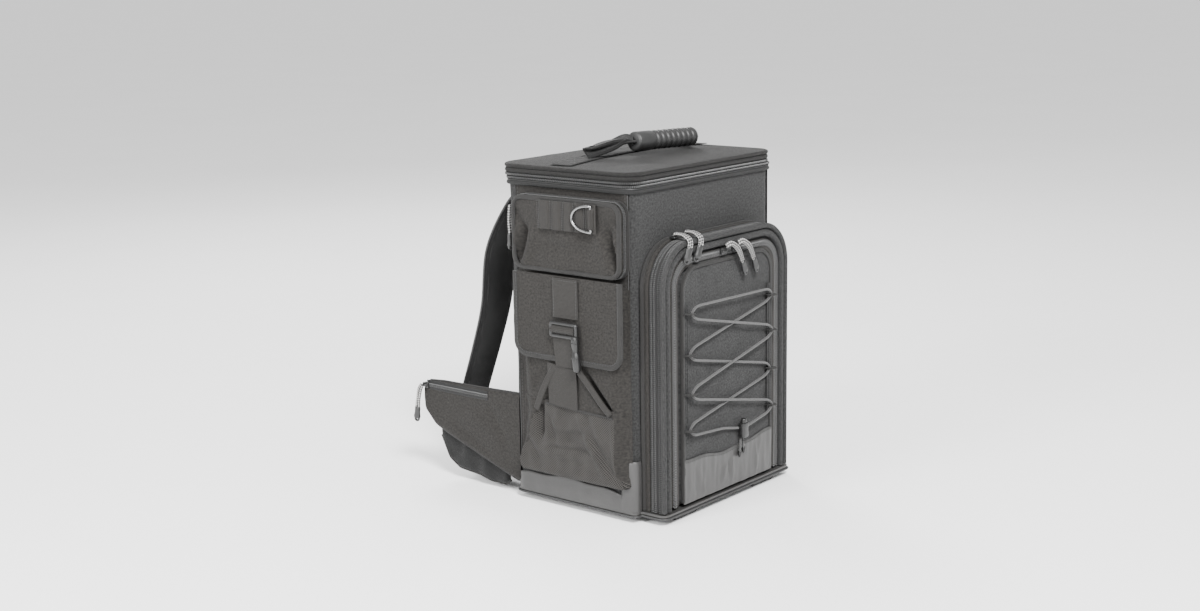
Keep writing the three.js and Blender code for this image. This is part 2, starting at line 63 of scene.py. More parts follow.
# Driving sizes: the spans are read from the frame, the corner radii are set here.
(_, _, BOTTOM), (HALF, DEEP, BODY_TOP) = span("body_shell")
LID_LOW, LID_HIGH = span("lid_panel")
DOOR_LOW, DOOR_HIGH = span("door_panel")
DOOR_HALF, DOOR_TOP, DOOR_FRONT = DOOR_HIGH[0], DOOR_HIGH[2], -DOOR_LOW[1]
DOOR_CORNER = 61.5
POCKET_HALF, POCKET_TOP = span("pocket_panel")[1][[0, 2]]
POCKET_CORNER = 35
KICK_TOP = span("kick_panel")[1][2]
BODY_CORNER = 16
LID_CORNER = 26


# --- Shapes ---

def on_face(face, a, b, n):
    """Points on a face of the pack: a to the right as the face is looked at, b up, n out from the centre."""
    a, b, n = np.broadcast_arrays(np.asarray(a, float), np.asarray(b, float), np.asarray(n, float))
    order = {
        "front": (a, -n, b), "back": (-a, n, b), "left": (-n, -a, b), "right": (n, a, b), "top": (a, b, n),
    }
    return np.stack(order[face], -1)


def lay(face, line, n):
    """A flat line laid on a face, n out from the centre."""
    return on_face(face, line[:, 0], line[:, 1], n)


def level(line, z):
    """A flat line at a height."""
    return np.column_stack([line, np.full(len(line), z)])


def beside(x, line):
    """A line of (y, z) points in the upright plane at x."""
    return np.column_stack([np.full(len(line), x), line])


def unit(v):
    return v / np.maximum(np.linalg.norm(v, axis=-1, keepdims=True), 1e-9)


def tangents(line, closed=False):
    """Unit directions along a line at its points."""
    return unit(np.roll(line, -1, 0) - np.roll(line, 1, 0) if closed else np.gradient(line, axis=0))


def directions(line, closed=False):
    """Unit directions along a flat line, and those to its left, which is inward if it is counterclockwise."""
    along = tangents(line, closed)
    return along, np.stack([-along[:, 1], along[:, 0]], 1)


def resample(points, step, closed=False):
    """The same line with points about a step apart."""
    points = np.asarray(points, float)
    if closed:
        points = np.vstack([points, points[:1]])
    length = np.concatenate([[0], np.cumsum(np.linalg.norm(np.diff(points, axis=0), axis=1))])
    count = max(2, int(round(length[-1] / step)) + 1)
    at = np.linspace(0, length[-1], count)
    out = np.stack([np.interp(at, length, points[:, k]) for k in range(points.shape[1])], 1)
    return out[:-1] if closed else out


def spline(points, step, closed=False):
    """A smooth line through the points."""
    points = np.asarray(points, float)
    if closed:
        p = np.vstack([points[-1], points, points[:2]])
    else:
        p = np.vstack([2 * points[0] - points[1], points, 2 * points[-1] - points[-2]])
    t = np.linspace(0, 1, 17)[:-1, None]
    parts = []
    for p0, p1, p2, p3 in zip(p[:-3], p[1:-2], p[2:-1], p[3:]):
        parts.append(0.5 * (2 * p1 + (p2 - p0) * t + (2 * p0 - 5 * p1 + 4 * p2 - p3) * t ** 2
                            + (3 * p1 - p0 - 3 * p2 + p3) * t ** 3))
    if not closed:
        parts.append(points[-1:])
    return resample(np.vstack(parts), step, closed)


def relaxed(points, step, softness):
    """A polyline with its corners eased as a stretched cord's are; softness is a length along it."""
    line = resample(points, step)
    reach = int(3 * softness / step)
    weights = np.exp(-0.5 * (np.arange(-reach, reach + 1) * step / softness) ** 2)
    weights /= weights.sum()
    before = 2 * line[0] - line[1:reach + 1][::-1]
    after = 2 * line[-1] - line[-reach - 1:-1][::-1]
    padded = np.vstack([before, line, after])
    return np.stack([np.convolve(padded[:, k], weights, "valid") for k in range(3)], 1)


def rounded(points, radius, step=4.0, closed=True):
    """A polygon, counterclockwise, with its corners rounded; radius is one number or one for each corner."""
    points = np.asarray(points, float)
    radii = np.broadcast_to(radius, len(points))
    line = []
    for k, (p, r) in enumerate(zip(points, radii)):
        if not closed and k in (0, len(points) - 1):
            line.append(p)
            continue
        before = unit(points[k - 1] - p)
        after = unit(points[(k + 1) % len(points)] - p)
        half = math.acos(np.clip(before @ after, -1, 1)) / 2
        reach = r / math.tan(half)
        centre = p + unit(before + after) * r / math.sin(half)
        a, b = p + before * reach - centre, p + after * reach - centre
        turn = math.pi - 2 * half
        count = max(2, int(turn * r / step) + 3)
        for t in np.linspace(0, 1, count):
            line.append(centre + (math.sin((1 - t) * turn) * a + math.sin(t * turn) * b) / math.sin(turn))
    return resample(line, step, closed)


def box_line(x0, x1, y0, y1, radius, step=4.0):
    return rounded([(x0, y0), (x1, y0), (x1, y1), (x0, y1)], radius, step)


def arch_line(half, bottom, top, radius, step=4.0):
    """An arch, counterclockwise from its right foot to its left foot."""
    return rounded([(half, bottom), (half, top), (-half, top), (-half, bottom)], radius, step, closed=False)


def squircle(half_a, half_b, power, sides):
    """A section between an ellipse and a rectangle."""
    a = np.linspace(0, 2 * math.pi, sides + 1)[:-1]
    bent = [np.sign(t) * np.abs(t) ** power for t in (np.cos(a), np.sin(a))]
    return np.stack([bent[0] * half_a, bent[1] * half_b], 1)


def circle(radius, sides=10, centre=(0, 0)):
    a = np.arange(sides) * 2 * math.pi / sides
    return np.stack([centre[0] + radius * np.cos(a), centre[1] + radius * np.sin(a)], 1)


def flat(width, thick, across=6):
    """The rounded section of a flat strap."""
    r = thick / 2
    x = np.linspace(-width / 2 + r, width / 2 - r, across)
    top = [(v, r) for v in x[::-1]]
    return np.array(top + [(-width / 2, 0)] + [(-a, -b) for a, b in top] + [(width / 2, 0)])


def rise(d, width, height=1.0):
    """A rounded edge: 0 at the edge, and height from width inwards."""
    t = np.clip(d / width, 0, 1)
    return height * np.sqrt(1 - (1 - t) ** 2)


def ripple(x, y, seed, size, waves=7):
    """Smooth low undulation between about -1 and 1, with features of a size in millimetres."""
    rng = np.random.default_rng(seed)
    total = 0.0
    for _ in range(waves):
        angle, phase = rng.uniform(0, 2 * math.pi, 2)
        k = 2 * math.pi / (size * rng.uniform(0.7, 1.8))
        total = total + np.sin(k * (x * math.cos(angle) + y * math.sin(angle)) + phase)
    return total / math.sqrt(waves) / 1.5


def crease(x, y, start, end, width, height):
    """A ridge, or with a height below 0 a groove, along a segment, fading at its ends."""
    start, end = np.array(start, float), np.array(end, float)
    along = end - start
    size = along @ along
    t = ((x - start[0]) * along[0] + (y - start[1]) * along[1]) / size
    c = np.clip(t, 0, 1)
    far = np.hypot(x - start[0] - c * along[0], y - start[1] - c * along[1])
    fade = np.clip(1.15 - np.abs(2 * c - 1) ** 3, 0, 1)
    return height * fade * np.exp(-((far / width) ** 2))


def creased(high, x, y, folds, gain=1.0):
    """Heights with every fold added: (start, end, width, height)."""
    for start, end, width, height in folds:
        high = high + crease(x, y, start, end, width, height * gain)
    return high


def edged(half, step, rim=(0, 0.5, 1.3, 2.6, 4.5, 7)):
    """Places from -1 to 1, close together near both ends."""
    inner = half - rim[-1]
    count = max(3, int(round(2 * inner / step)) + 1)
    middle = np.linspace(-inner, inner, count)
    ends = half - np.array(rim[:-1])
    return np.concatenate([-ends, middle, ends[::-1]]) / half


def panel(x0, x1, y0, y1, radii, step=5.0, rim=(0, 0.5, 1.3, 2.6, 4.5, 7)):
    """A grid over a rounded rectangle: x, y and the distance from the edge. Radii are (low, high)."""
    half_x, half_y = (x1 - x0) / 2, (y1 - y0) / 2
    u, v = np.meshgrid(edged(half_x, step, rim), edged(half_y, step, rim), indexing="ij")
    low, high = radii
    r = np.where(v < 0, low, high) * 1.0
    m = np.maximum(np.maximum(np.abs(u), np.abs(v)), 1e-6)
    bx, by = np.abs(u) / m * half_x, np.abs(v) / m * half_y
    ax, ay = bx - (half_x - r), by - (half_y - r)
    corner = (ax > 0) & (ay > 0)
    run = np.where(np.abs(u) >= np.abs(v), ay, 2 * r - ax)
    angle = np.clip(run / (2 * r), 0, 1) * math.pi / 2
    cx = np.where(corner, half_x - r + r * np.cos(angle), bx)
    cy = np.where(corner, half_y - r + r * np.sin(angle), by)
    blend = m ** 5
    x = np.abs(u) * half_x * (1 - blend) + m * cx * blend
    y = np.abs(v) * half_y * (1 - blend) + m * cy * blend
    qx, qy = x - (half_x - r), y - (half_y - r)
    outside = np.hypot(np.maximum(qx, 0), np.maximum(qy, 0))
    distance = r - outside - np.minimum(np.maximum(qx, qy), 0)
    middle_x, middle_y = (x0 + x1) / 2, (y0 + y1) / 2
    return middle_x + np.sign(u) * x, middle_y + np.sign(v) * y, np.maximum(distance, 0)


class Shape:
    """Faces gathered in millimetres, then built as one mesh."""

    def __init__(self):
        self.points, self.faces, self.uvs, self.slots = [], [], [], []
        self.count = 0

    def _add(self, points, faces, uvs, slot):
        self.points.append(points)
        self.faces.extend((np.asarray(faces) + self.count).tolist())
        self.uvs.append(np.asarray(uvs, float).reshape(-1, 2))
        self.slots.extend(np.broadcast_to(np.asarray(slot).ravel(), len(faces)).tolist())
        self.count += len(points)

    def grid(self, points, slot=0, wrap_i=False, wrap_j=False, uv=None):
        """Quads over a grid of points; wrap_i and wrap_j join the last row or column to the first."""
        ni, nj = points.shape[:2]
        i = np.arange(ni if wrap_i else ni - 1)
        j = np.arange(nj if wrap_j else nj - 1)
        i, j = (g.ravel() for g in np.meshgrid(i, j, indexing="ij"))
        corners = [(i, j), (i + 1, j), (i + 1, j + 1), (i, j + 1)]
        faces = np.stack([(a % ni) * nj + (b % nj) for a, b in corners], 1)
        if uv is None:
            rows = np.linalg.norm(points - np.roll(points, 1, 0), axis=2).mean(1)
            columns = np.linalg.norm(points - np.roll(points, 1, 1), axis=2).mean(0)
            u = np.append(np.cumsum(rows) - rows[0], np.sum(rows))
            v = np.append(np.cumsum(columns) - columns[0], np.sum(columns))
            uvs = np.stack([np.stack([u[a], v[b]], 1) for a, b in corners], 1)
        else:
            uvs = np.stack([np.stack([uv[0][a % ni, b % nj], uv[1][a % ni, b % nj]], 1) for a,
                            b in corners], 1)
        self._add(points.reshape(-1, 3), faces, uvs, slot)

    def cap(self, loop, slot=0):
        loop = np.asarray(loop, float)
        self.points.append(loop)
        self.faces.append(list(range(self.count, self.count + len(loop))))
        self.uvs.append(loop[:, [0, 2]])
        self.slots.append(slot)
        self.count += len(loop)

    def stack(self, rings):
        """A closed form through rings, which are the columns of a grid."""
        self.grid(rings, wrap_i=True)
        self.cap(rings[:, 0])
        self.cap(rings[::-1, -1])

    def two_faces(self, outer, back, slot=0, uv=None, wrap_i=False):
        """Two grids with one outline, the second facing the other way, and the strips that join them."""
        turned = None if uv is None else (uv[0][:, ::-1], uv[1][:, ::-1])
        self.grid(outer, slot, uv=uv, wrap_i=wrap_i)
        self.grid(back[:, ::-1], slot, uv=turned, wrap_i=wrap_i)
        for a, b in ((outer[:, 0], back[:, 0]), (back[:, -1], outer[:, -1])):
            self.grid(np.stack([a, b], 1), slot, wrap_i=wrap_i)
        if not wrap_i:
            for a, b in ((back[0], outer[0]), (outer[-1], back[-1])):
                self.grid(np.stack([a, b], 0), slot)

    def sheet(self, points, thick, slot=0, uv=None, wrap_i=False):
        """A grid given a thickness inwards, closed round its edge."""
        di = np.gradient(points, axis=0)
        dj = np.gradient(points, axis=1)
        normal = unit(np.cross(di, dj))
        self.two_faces(points, points - normal * thick, slot, uv, wrap_i)

    def pad(self, face, box, radii, back, relief, slot=0, back_slot=None, step=5.0):
        """A soft panel on a face: flat at back, and raised by relief(x, y, distance from the edge).
        slot may be a function that gives each face its slot from where it is."""
        x, y, d = panel(*box, radii, step)
        if callable(slot):
            slot = slot((x[1:, 1:] + x[:-1, :-1]) / 2, (y[1:, 1:] + y[:-1, :-1]) / 2)
            back_slot = 0
        self.grid(on_face(face, x, y, back + relief(x, y, d)), slot, uv=(x, y))
        flat_back = on_face(face, x, y, back)
        self.grid(flat_back[:, ::-1], slot if back_slot is None else back_slot, uv=(x[:, ::-1], y[:, ::-1]))

    def band(self, face, line, profile, closed=False, slot=0, wave=None):
        """A closed profile of (inset, n) points carried along a line on a face."""
        line = np.asarray(line, float)
        _, inward = directions(line, closed)
        profile = np.asarray(profile, float)
        flat_points = line[:, None] + inward[:, None] * profile[None, :, :1]
        n = np.broadcast_to(profile[None, :, 1], flat_points.shape[:2])
        if wave is not None:
            n = n + wave(flat_points[..., 0], flat_points[..., 1])
        points = on_face(face, flat_points[..., 0], flat_points[..., 1], n)
        self.grid(points, slot, wrap_i=closed, wrap_j=True)
        if not closed:
            self.cap(points[0], slot)
            self.cap(points[-1][::-1], slot)

    def tube(self, path, section, up=(0, 0, 1), closed=False, slot=0, scale=None):
        """A section of (side, up) points carried along a path in space."""
        path = np.asarray(path, float)
        tangent = tangents(path, closed)
        up = np.broadcast_to(np.asarray(up, float), path.shape)
        side = unit(np.cross(tangent, up))
        normal = np.cross(side, tangent)
        section = np.asarray(section, float)
        if section.ndim == 2:
            section = np.broadcast_to(section, (len(path),) + section.shape)
        if scale is not None:
            section = section * np.asarray(scale, float).reshape(len(path), 1, -1)
        points = path[:, None] + side[:, None] * section[..., :1] + normal[:, None] * section[..., 1:]
        self.grid(points, slot, wrap_i=closed, wrap_j=True)
        if not closed:
            self.cap(points[0], slot)
            self.cap(points[-1][::-1], slot)

    def bars(self, centres, along, up, length, width, height, slot=0):
        """Small rounded bars, one at each centre, lying along one direction and standing up from it."""
        centres = np.asarray(centres, float)
        along = unit(np.broadcast_to(np.asarray(along, float), centres.shape))
        up = np.broadcast_to(np.asarray(up, float), centres.shape)
        side = unit(np.cross(along, up))
        up = np.cross(side, along)
        hoop = [(-0.5, 0), (-0.42, 0.6), (0, 1), (0.42, 0.6), (0.5, 0)]
        ends = [(-0.5, 0.35), (-0.36, 1), (0.36, 1), (0.5, 0.35)]
        points = np.stack([np.stack([
            centres + along * (e * length) + side * (s * width * (0.6 + 0.4 * k)) + up * (h * height * k)
            for s, h in hoop], 1) for e, k in ends], 1)
        count, ne, nh = points.shape[:3]
        quads = [(a * nh + b, (a + 1) * nh + b, (a + 1) * nh + b + 1, a * nh + b + 1)
                 for a in range(ne - 1) for b in range(nh - 1)]
        faces = (np.array(quads)[None] + (np.arange(count) * ne * nh)[:, None, None]).reshape(-1, 4)
        self._add(points.reshape(-1, 3), faces, np.zeros((len(faces) * 4, 2)), slot)
        closing = [[b for b in range(nh)][::-1], [(ne - 1) * nh + b for b in range(nh)]]
        start = self.count - len(points.reshape(-1, 3))
        for k in range(count):
            for loop in closing:
                self.faces.append([start + k * ne * nh + b for b in loop])
                self.uvs.append(np.zeros((nh, 2)))
                self.slots.append(slot)

    def block(self, centre, size, bevel=1.5, slot=0, turn=None, segments=3):
        """A rounded block; turn is a rotation matrix."""
        bm = bmesh.new()
        bmesh.ops.create_cube(bm, size=1.0)
        bmesh.ops.scale(bm, vec=size, verts=bm.verts)
        bmesh.ops.bevel(bm, geom=bm.edges[:], offset=bevel, segments=segments, profile=0.6, affect="EDGES")
        matrix = Matrix.Translation(centre) @ (turn.to_4x4() if turn else Matrix.Identity(4))
        bmesh.ops.transform(bm, matrix=matrix, verts=bm.verts)
        points = np.array([v.co for v in bm.verts])
        for f in bm.faces:
            self.faces.append([v.index + self.count for v in f.verts])
            self.uvs.append(np.array([(v.co.x, v.co.z) for v in f.verts]))
            self.slots.append(slot)
        self.points.append(points)
        self.count += len(points)
        bm.free()

    def build(self, name, materials, body, slot, replaces=(), sharp=50):
        """The finished piece: in metres in the row frame, welded, riding on its body."""
        points = np.vstack(self.points) / MM + ORIGIN
        mesh = bpy.data.meshes.new(name)
        mesh.from_pydata(points.tolist(), [], self.faces)
        uv = mesh.uv_layers.new(name="UVMap")
        uv.data.foreach_set("uv", (np.vstack(self.uvs) / MM).astype(np.float32).ravel())
        for material in materials:
            mesh.materials.append(material)
        mesh.polygons.foreach_set("material_index", self.slots)
        mesh.polygons.foreach_set("use_smooth", [True] * len(mesh.polygons))
        bm = bmesh.new()
        bm.from_mesh(mesh)
        bmesh.ops.remove_doubles(bm, verts=bm.verts, dist=2e-5)
        bmesh.ops.recalc_face_normals(bm, faces=bm.faces)
        bm.to_mesh(mesh)
        bm.free()
        mesh.set_sharp_from_angle(angle=math.radians(sharp))
        obj = bpy.data.objects.new(name, mesh)
        bpy.context.scene.collection.objects.link(obj)
        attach(obj, body)
        if replaces:
            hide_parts(*replaces)
        return obj


def coil(shape, path, up, slot=0, pitch=2.1, width=3.0, sides=(-1, 1)):
    """Nylon zip teeth along a path: a slanted row on each side of it, or on one side only."""
    path = resample(path, pitch)
    tangent = tangents(path)
    up = np.broadcast_to(np.asarray(up, float), path.shape)
    side = unit(np.cross(tangent, up))
    for s in sides:
        shape.bars(path + side * (s * width * 0.47), side * s + tangent * 0.35, up, width, pitch * 0.78,
                   1.15, slot)


def stitches(shape, path, up, slot=0, length=3.0, gap=1.5, closed=False):
    """A line of thread."""
    up = np.asarray(up, float)
    if up.ndim == 2:
        count = len(resample(path, length + gap, closed))
        up = unit(resample(up, 1, closed) if len(up) == count else np.stack(
            [np.interp(np.linspace(0, 1, count), np.linspace(0, 1, len(up)), up[:, k]) for k in range(3)], 1))
    path = resample(path, length + gap, closed)
    tangent = tangents(path, closed)
    shape.bars(path, tangent, up, length, 0.8, 0.42, slot)


# --- Materials ---

class Nodes:
    """A material's node tree, written as calls."""

    def __init__(self, name):
        self.material = bpy.data.materials.new(name)
        self.material.use_nodes = True
        self.tree = self.material.node_tree
        self.tree.nodes.clear()
        self.output = self.tree.nodes.new("ShaderNodeOutputMaterial")

    def add(self, kind, out=0, props=None, **inputs):
        node = self.tree.nodes.new("ShaderNode" + kind)
        for key, value in (props or {}).items():
            setattr(node, key, value)
        for key, value in inputs.items():
            spot = node.inputs[int(key[1:])] if key[0] == "i" and key[1:].isdigit() else node.inputs[
                key.replace("_", " ")]
            if isinstance(value, bpy.types.NodeSocket):
                self.tree.links.new(value, spot)
            else:
                spot.default_value = value
        return node.outputs[out]

    def math(self, operation, a, b=0.0):
        return self.add("Math", props={"operation": operation}, i0=a, i1=b)

    def uv(self):
        return self.add("TexCoord", out=2)

    def split(self, vector):
        node = self.tree.nodes.new("ShaderNodeSeparateXYZ")
        self.tree.links.new(vector, node.inputs[0])
        return node.outputs[0], node.outputs[1]

    def noise(self, vector, scale, detail=3.0, roughness=0.55):
        return self.add("TexNoise", Vector=vector, Scale=scale, Detail=detail, Roughness=roughness)

    def ramp(self, value, low, high, dark, light):
        t = self.add("MapRange", Value=value, From_Min=low, From_Max=high)
        return self.add("Mix", out=2, props={"data_type": "RGBA"}, i0=t, i6=dark, i7=light)

    def finish(self, colour, roughness, height=None, bump=0.5, distance=0.0006, **settings):
        shader = self.tree.nodes.new("ShaderNodeBsdfPrincipled")
        for key, value in {"Base Color": colour, "Roughness": roughness}.items():
            if isinstance(value, bpy.types.NodeSocket):
                self.tree.links.new(value, shader.inputs[key])
            else:
                shader.inputs[key].default_value = value
        for key, value in settings.items():
            shader.inputs[key.replace("_", " ")].default_value = value
        if height is not None:
            normal = self.add("Bump", Strength=bump, Distance=distance, Height=height)
            self.tree.links.new(normal, shader.inputs["Normal"])
        self.tree.links.new(shader.outputs[0], self.output.inputs[0])
        return self.material


def grey(value, warm=0.0):
    return (value * (1 + warm), value, value * (1 - warm), 1)


def weave(nodes, pitch):
    """Height of a plain weave, with the pitch of a thread in metres."""
    x, y = nodes.split(nodes.uv())
    sx = nodes.math("SINE", nodes.math("MULTIPLY", x, math.pi / pitch))
    sy = nodes.math("SINE", nodes.math("MULTIPLY", y, math.pi / pitch))
    over = nodes.math("GREATER_THAN", nodes.math("MULTIPLY", sx, sy), 0.0)
    ax = nodes.math("ABSOLUTE", sx)
    ay = nodes.math("ABSOLUTE", sy)
    return nodes.add("Mix", out=0, props={"data_type": "FLOAT"}, i0=over, i2=ax, i3=ay)


def woven(name, value, warm=0.0, pitch=0.0011, fleck=0.55, sheen=0.04, rough=0.86, bump=0.55):
    nodes = Nodes(name)
    uv = nodes.uv()
    height = weave(nodes, pitch)
    thread = nodes.noise(uv, 700, 2)
    patch = nodes.noise(uv, 9, 4)
    tone = nodes.math("ADD", nodes.math("MULTIPLY", thread, 0.6), nodes.math("MULTIPLY", patch, 0.4))
    # painted shade: the weave's height is mixed into the colour, so thread crests are lighter and the hollows
    # between threads darker; the thread, patch and slub noise is random tone
    tone = nodes.math("ADD", nodes.math("MULTIPLY", height, 0.25), nodes.math("MULTIPLY", tone, 0.5))
    slub = nodes.math("MULTIPLY", nodes.math("SUBTRACT", nodes.noise(uv, 330, 3), 0.5), 1.9)
    tone = nodes.math("ADD", nodes.math("ADD", tone, 0.18), slub)
    colour = nodes.ramp(tone, 0.2, 1.0, grey(value * (1 - fleck), warm),
                        grey(value * (1 + fleck * 1.3), warm))
    return nodes.finish(colour, rough, height, bump, 0.0004, Sheen_Weight=sheen, Sheen_Roughness=0.5,
                        Specular_IOR_Level=0.22)


def ribbed(name, value, pitch=0.0017, warm=0.0, rough=0.7):
    """Webbing: ribs along its length and a fine thread across."""
    nodes = Nodes(name)
    uv = nodes.uv()
    x, y = nodes.split(uv)
    along = nodes.math("ABSOLUTE", nodes.math("SINE", nodes.math("MULTIPLY", y, math.pi / pitch)))
    across = nodes.math("SINE", nodes.math("ADD", nodes.math("MULTIPLY", x, 2 * math.pi / 0.0012),
                                           nodes.math("MULTIPLY", y, math.pi / pitch)))
    height = nodes.math("ADD", along, nodes.math("MULTIPLY", across, 0.25))
    # painted shade: the ribs' height goes into the colour, so the grooves between ribs are darker and the
    # crests lighter; the noise is random tone
    tone = nodes.math("ADD", nodes.math("MULTIPLY", height, 0.5), nodes.noise(uv, 300, 2))
    colour = nodes.ramp(tone, 0.3, 1.4, grey(value * 0.6, warm), grey(value * 1.35, warm))
    return nodes.finish(colour, rough, height, 0.7, 0.0006, Sheen_Weight=0.05, Specular_IOR_Level=0.25)


def netting(name, value, warm=0.0, pitch=0.0034):
    """Knitted mesh: staggered holes in a light knit, with the holes painted near-black as painted shade for
    the shaded inside seen through them.
    """
    nodes = Nodes(name)
    uv = nodes.uv()
    x, y = nodes.split(uv)
    a = nodes.math("SINE", nodes.math("MULTIPLY", nodes.math("ADD", x, y), math.pi / pitch))
    b = nodes.math("SINE", nodes.math("MULTIPLY", nodes.math("SUBTRACT", x, y), math.pi / pitch))
    hole = nodes.math("MULTIPLY", nodes.math("ABSOLUTE", a), nodes.math("ABSOLUTE", b))
    # painted shade: the holes get a near-black colour for the shaded inside seen through them; the noise is
    # random tone in the knit
    tone = nodes.math("SUBTRACT", nodes.math("MULTIPLY", nodes.noise(uv, 40, 3), 0.35), hole)
    colour = nodes.ramp(tone, -0.5, 0.2, grey(value * 0.12, warm), grey(value * 2.0, warm))
    height = nodes.math("SUBTRACT", 1.0, hole)
    return nodes.finish(colour, 0.85, height, 0.9, 0.0008, Sheen_Weight=0.05, Specular_IOR_Level=0.25)


def coated(name, value, warm=0.02):
    """Vinyl with a leather grain and soft wear."""
    nodes = Nodes(name)
    uv = nodes.uv()
    cells = nodes.add("TexVoronoi", Vector=uv, Scale=620.0)
    wear = nodes.noise(uv, 26, 5)
    colour = nodes.ramp(wear, 0.3, 0.75, grey(value * 0.8, warm), grey(value * 1.2, warm))
    rough = nodes.add("MapRange", Value=wear, From_Min=0.3, From_Max=0.7, To_Min=0.34, To_Max=0.5)
    height = nodes.math("ADD", cells, nodes.math("MULTIPLY", nodes.noise(uv, 70, 4), 1.4))
    return nodes.finish(colour, rough, height, 0.22, 0.0005, Specular_IOR_Level=0.45)


def moulded(name, value, rough=0.42, grain=900, bump=0.12):
    nodes = Nodes(name)
    spot = nodes.add("TexCoord", out=3)
    fine = nodes.noise(spot, grain, 2)
    broad = nodes.noise(spot, 30, 3)
    colour = nodes.ramp(broad, 0.3, 0.7, grey(value * 0.85), grey(value * 1.2))
    roughness = nodes.add("MapRange", Value=broad, From_Min=0.3, From_Max=0.7, To_Min=rough - 0.05,
                          To_Max=rough + 0.08)
    return nodes.finish(colour, roughness, fine, bump, 0.0003)


def metal(name, value):
    nodes = Nodes(name)
    spot = nodes.add("TexCoord", out=3)
    smear = nodes.noise(spot, 160, 4)
    colour = nodes.ramp(smear, 0.3, 0.7, grey(value * 0.82), grey(value * 1.08))
    roughness = nodes.add("MapRange", Value=smear, From_Min=0.3, From_Max=0.7, To_Min=0.2, To_Max=0.36)
    return nodes.finish(colour, roughness, smear, 0.08, 0.0002, Metallic=1.0)


def braided(name, dark, light, pitch=0.0016, share=0.0):
    """Braided cord: a diamond pattern of two thread colours."""
    nodes = Nodes(name)
    x, y = nodes.split(nodes.uv())
    a = nodes.math("SINE", nodes.math("MULTIPLY", nodes.math("ADD", x, y), math.pi / pitch))
    b = nodes.math("SINE", nodes.math("MULTIPLY", nodes.math("SUBTRACT", x, y), math.pi / pitch))
    lozenge = nodes.math("MULTIPLY", a, b)
    colour = nodes.ramp(lozenge, share - 0.12, share + 0.12, grey(dark), grey(light, 0.02))
    return nodes.finish(colour, 0.75, nodes.math("ABSOLUTE", lozenge), 0.6, 0.0004, Sheen_Weight=0.2)


FRONT = woven("front_nylon", 0.019)
SIDE = woven("side_nylon", 0.0125, warm=0.09)
TOP = woven("lid_nylon", 0.0085, warm=0.04)
LINING = woven("lining", 0.018, pitch=0.0008, fleck=0.15, sheen=0.1)
BINDING = ribbed("binding_tape", 0.013, pitch=0.0012, warm=0.04)
WEB = ribbed("webbing", 0.011)
SIDE_WEB = ribbed("side_webbing", 0.013, warm=0.1)
TAPE = ribbed("zip_tape", 0.01, pitch=0.0009)
TEETH = moulded("zip_teeth", 0.028, rough=0.34)
THREAD = moulded("thread", 0.022, rough=0.6)
MESH = netting("pocket_mesh", 0.021, warm=0.08)
AIR = netting("air_mesh", 0.014, pitch=0.0034)
STRAP = woven("strap_nylon", 0.005, pitch=0.001, sheen=0.08)
VINYL = coated("vinyl", 0.035)
PIPE = moulded("piping", 0.013, rough=0.5)
PLASTIC = moulded("black_acetal", 0.009, rough=0.34)
RUBBER = moulded("grip_rubber", 0.012, rough=0.46, grain=1400, bump=0.2)
TIP = moulded("pull_tip", 0.016, rough=0.42)
STEEL = metal("ring_plating", 0.26)
ELASTIC = braided("bungee_braid", 0.02, 0.055, pitch=0.0014)
BRAID = braided("pull_braid", 0.008, 0.32, pitch=0.0036, share=0.05)


# --- Body ---

def footprint(grow, step=4.0):
    """The outline on the floor: the body, with the door's thickness in front."""
    x, y, door, front = HALF + grow, DEEP + grow, DOOR_HALF + 0.5 + grow, DOOR_FRONT + grow
    corners = [(-x, y), (-x, -y), (-door, -y), (-door, -front), (door, -front), (door, -y), (x, -y), (x, y)]
    return rounded(corners, (16, 6, 3, 9, 9, 3, 6, 16), step)


def subtract(obj, cutter):
    """Cuts one object out of another and removes the cutter."""
    modifier = obj.modifiers.new("cut", "BOOLEAN")
    modifier.object, modifier.solver = cutter, "EXACT"
    graph = bpy.context.evaluated_depsgraph_get()
    mesh = bpy.data.meshes.new_from_object(obj.evaluated_get(graph))
    obj.modifiers.clear()
    obj.data = mesh
    bpy.data.objects.remove(cutter)


def body_skin():
    line = box_line(-HALF, HALF, -DEEP, DEEP, BODY_CORNER, 5)
    _, inward = directions(line, closed=True)
    run = np.cumsum(np.linalg.norm(line - np.roll(line, 1, 0), axis=1))
    levels = np.linspace(BOTTOM, BODY_TOP, 75)
    outer = np.zeros((len(line), len(levels), 3))
    dent = 0.9 * (1 + ripple(run[:, None], levels[None], 3, 110)) * np.clip((BODY_TOP - levels) / 30, 0, 1)
    dent = np.clip(dent, 0, 3)
    outer[..., :2] = line[:, None] + inward[:, None] * dent[..., None]
    rear = np.clip((line[:, 1] - 60) / 40, 0, 1) * np.clip((np.abs(line[:, 0]) - 134) / 10, 0, 1)
    outer[..., 1] += rear[:, None] * (1.5 + 7.5 * (levels / BODY_TOP) ** 1.5)
    outer[..., 2] = levels
    inner_line = line + inward * 8
    inner = np.zeros((len(line), 8, 3))
    inner[..., :2] = inner_line[:, None]
    inner[..., 2] = np.linspace(BODY_TOP, BOTTOM + 8, 8)
    shape = Shape()
    shape.grid(outer, 0, wrap_i=True)
    shape.grid(np.stack([outer[:, -1], inner[:, 0]], 1), 1, wrap_i=True)
    shape.grid(inner, 2, wrap_i=True)
    shape.cap(outer[::-1, 0], 0)
    shape.cap(inner[:, -1], 2)
    body = shape.build("body_fabric", [FRONT, BINDING, LINING], "pack", "front_fabric", ["body_shell"])
    half, top = DOOR_HALF - 8.5, DOOR_TOP - 12.5
    ring = arch_line(half, BOTTOM + 9, top, DOOR_CORNER - 8.5, 6)
    window = Shape()
    window.grid(np.stack([lay("front", ring, n) for n in (DEEP - 12, DEEP + 4)], 1), 0,
                wrap_i=True)
    for n in (DEEP - 12, DEEP + 4):
        window.cap(lay("front", ring, n))
    subtract(body, window.build("window", [LINING], "pack", "front_fabric"))
    body.data.set_sharp_from_angle(angle=math.radians(50))


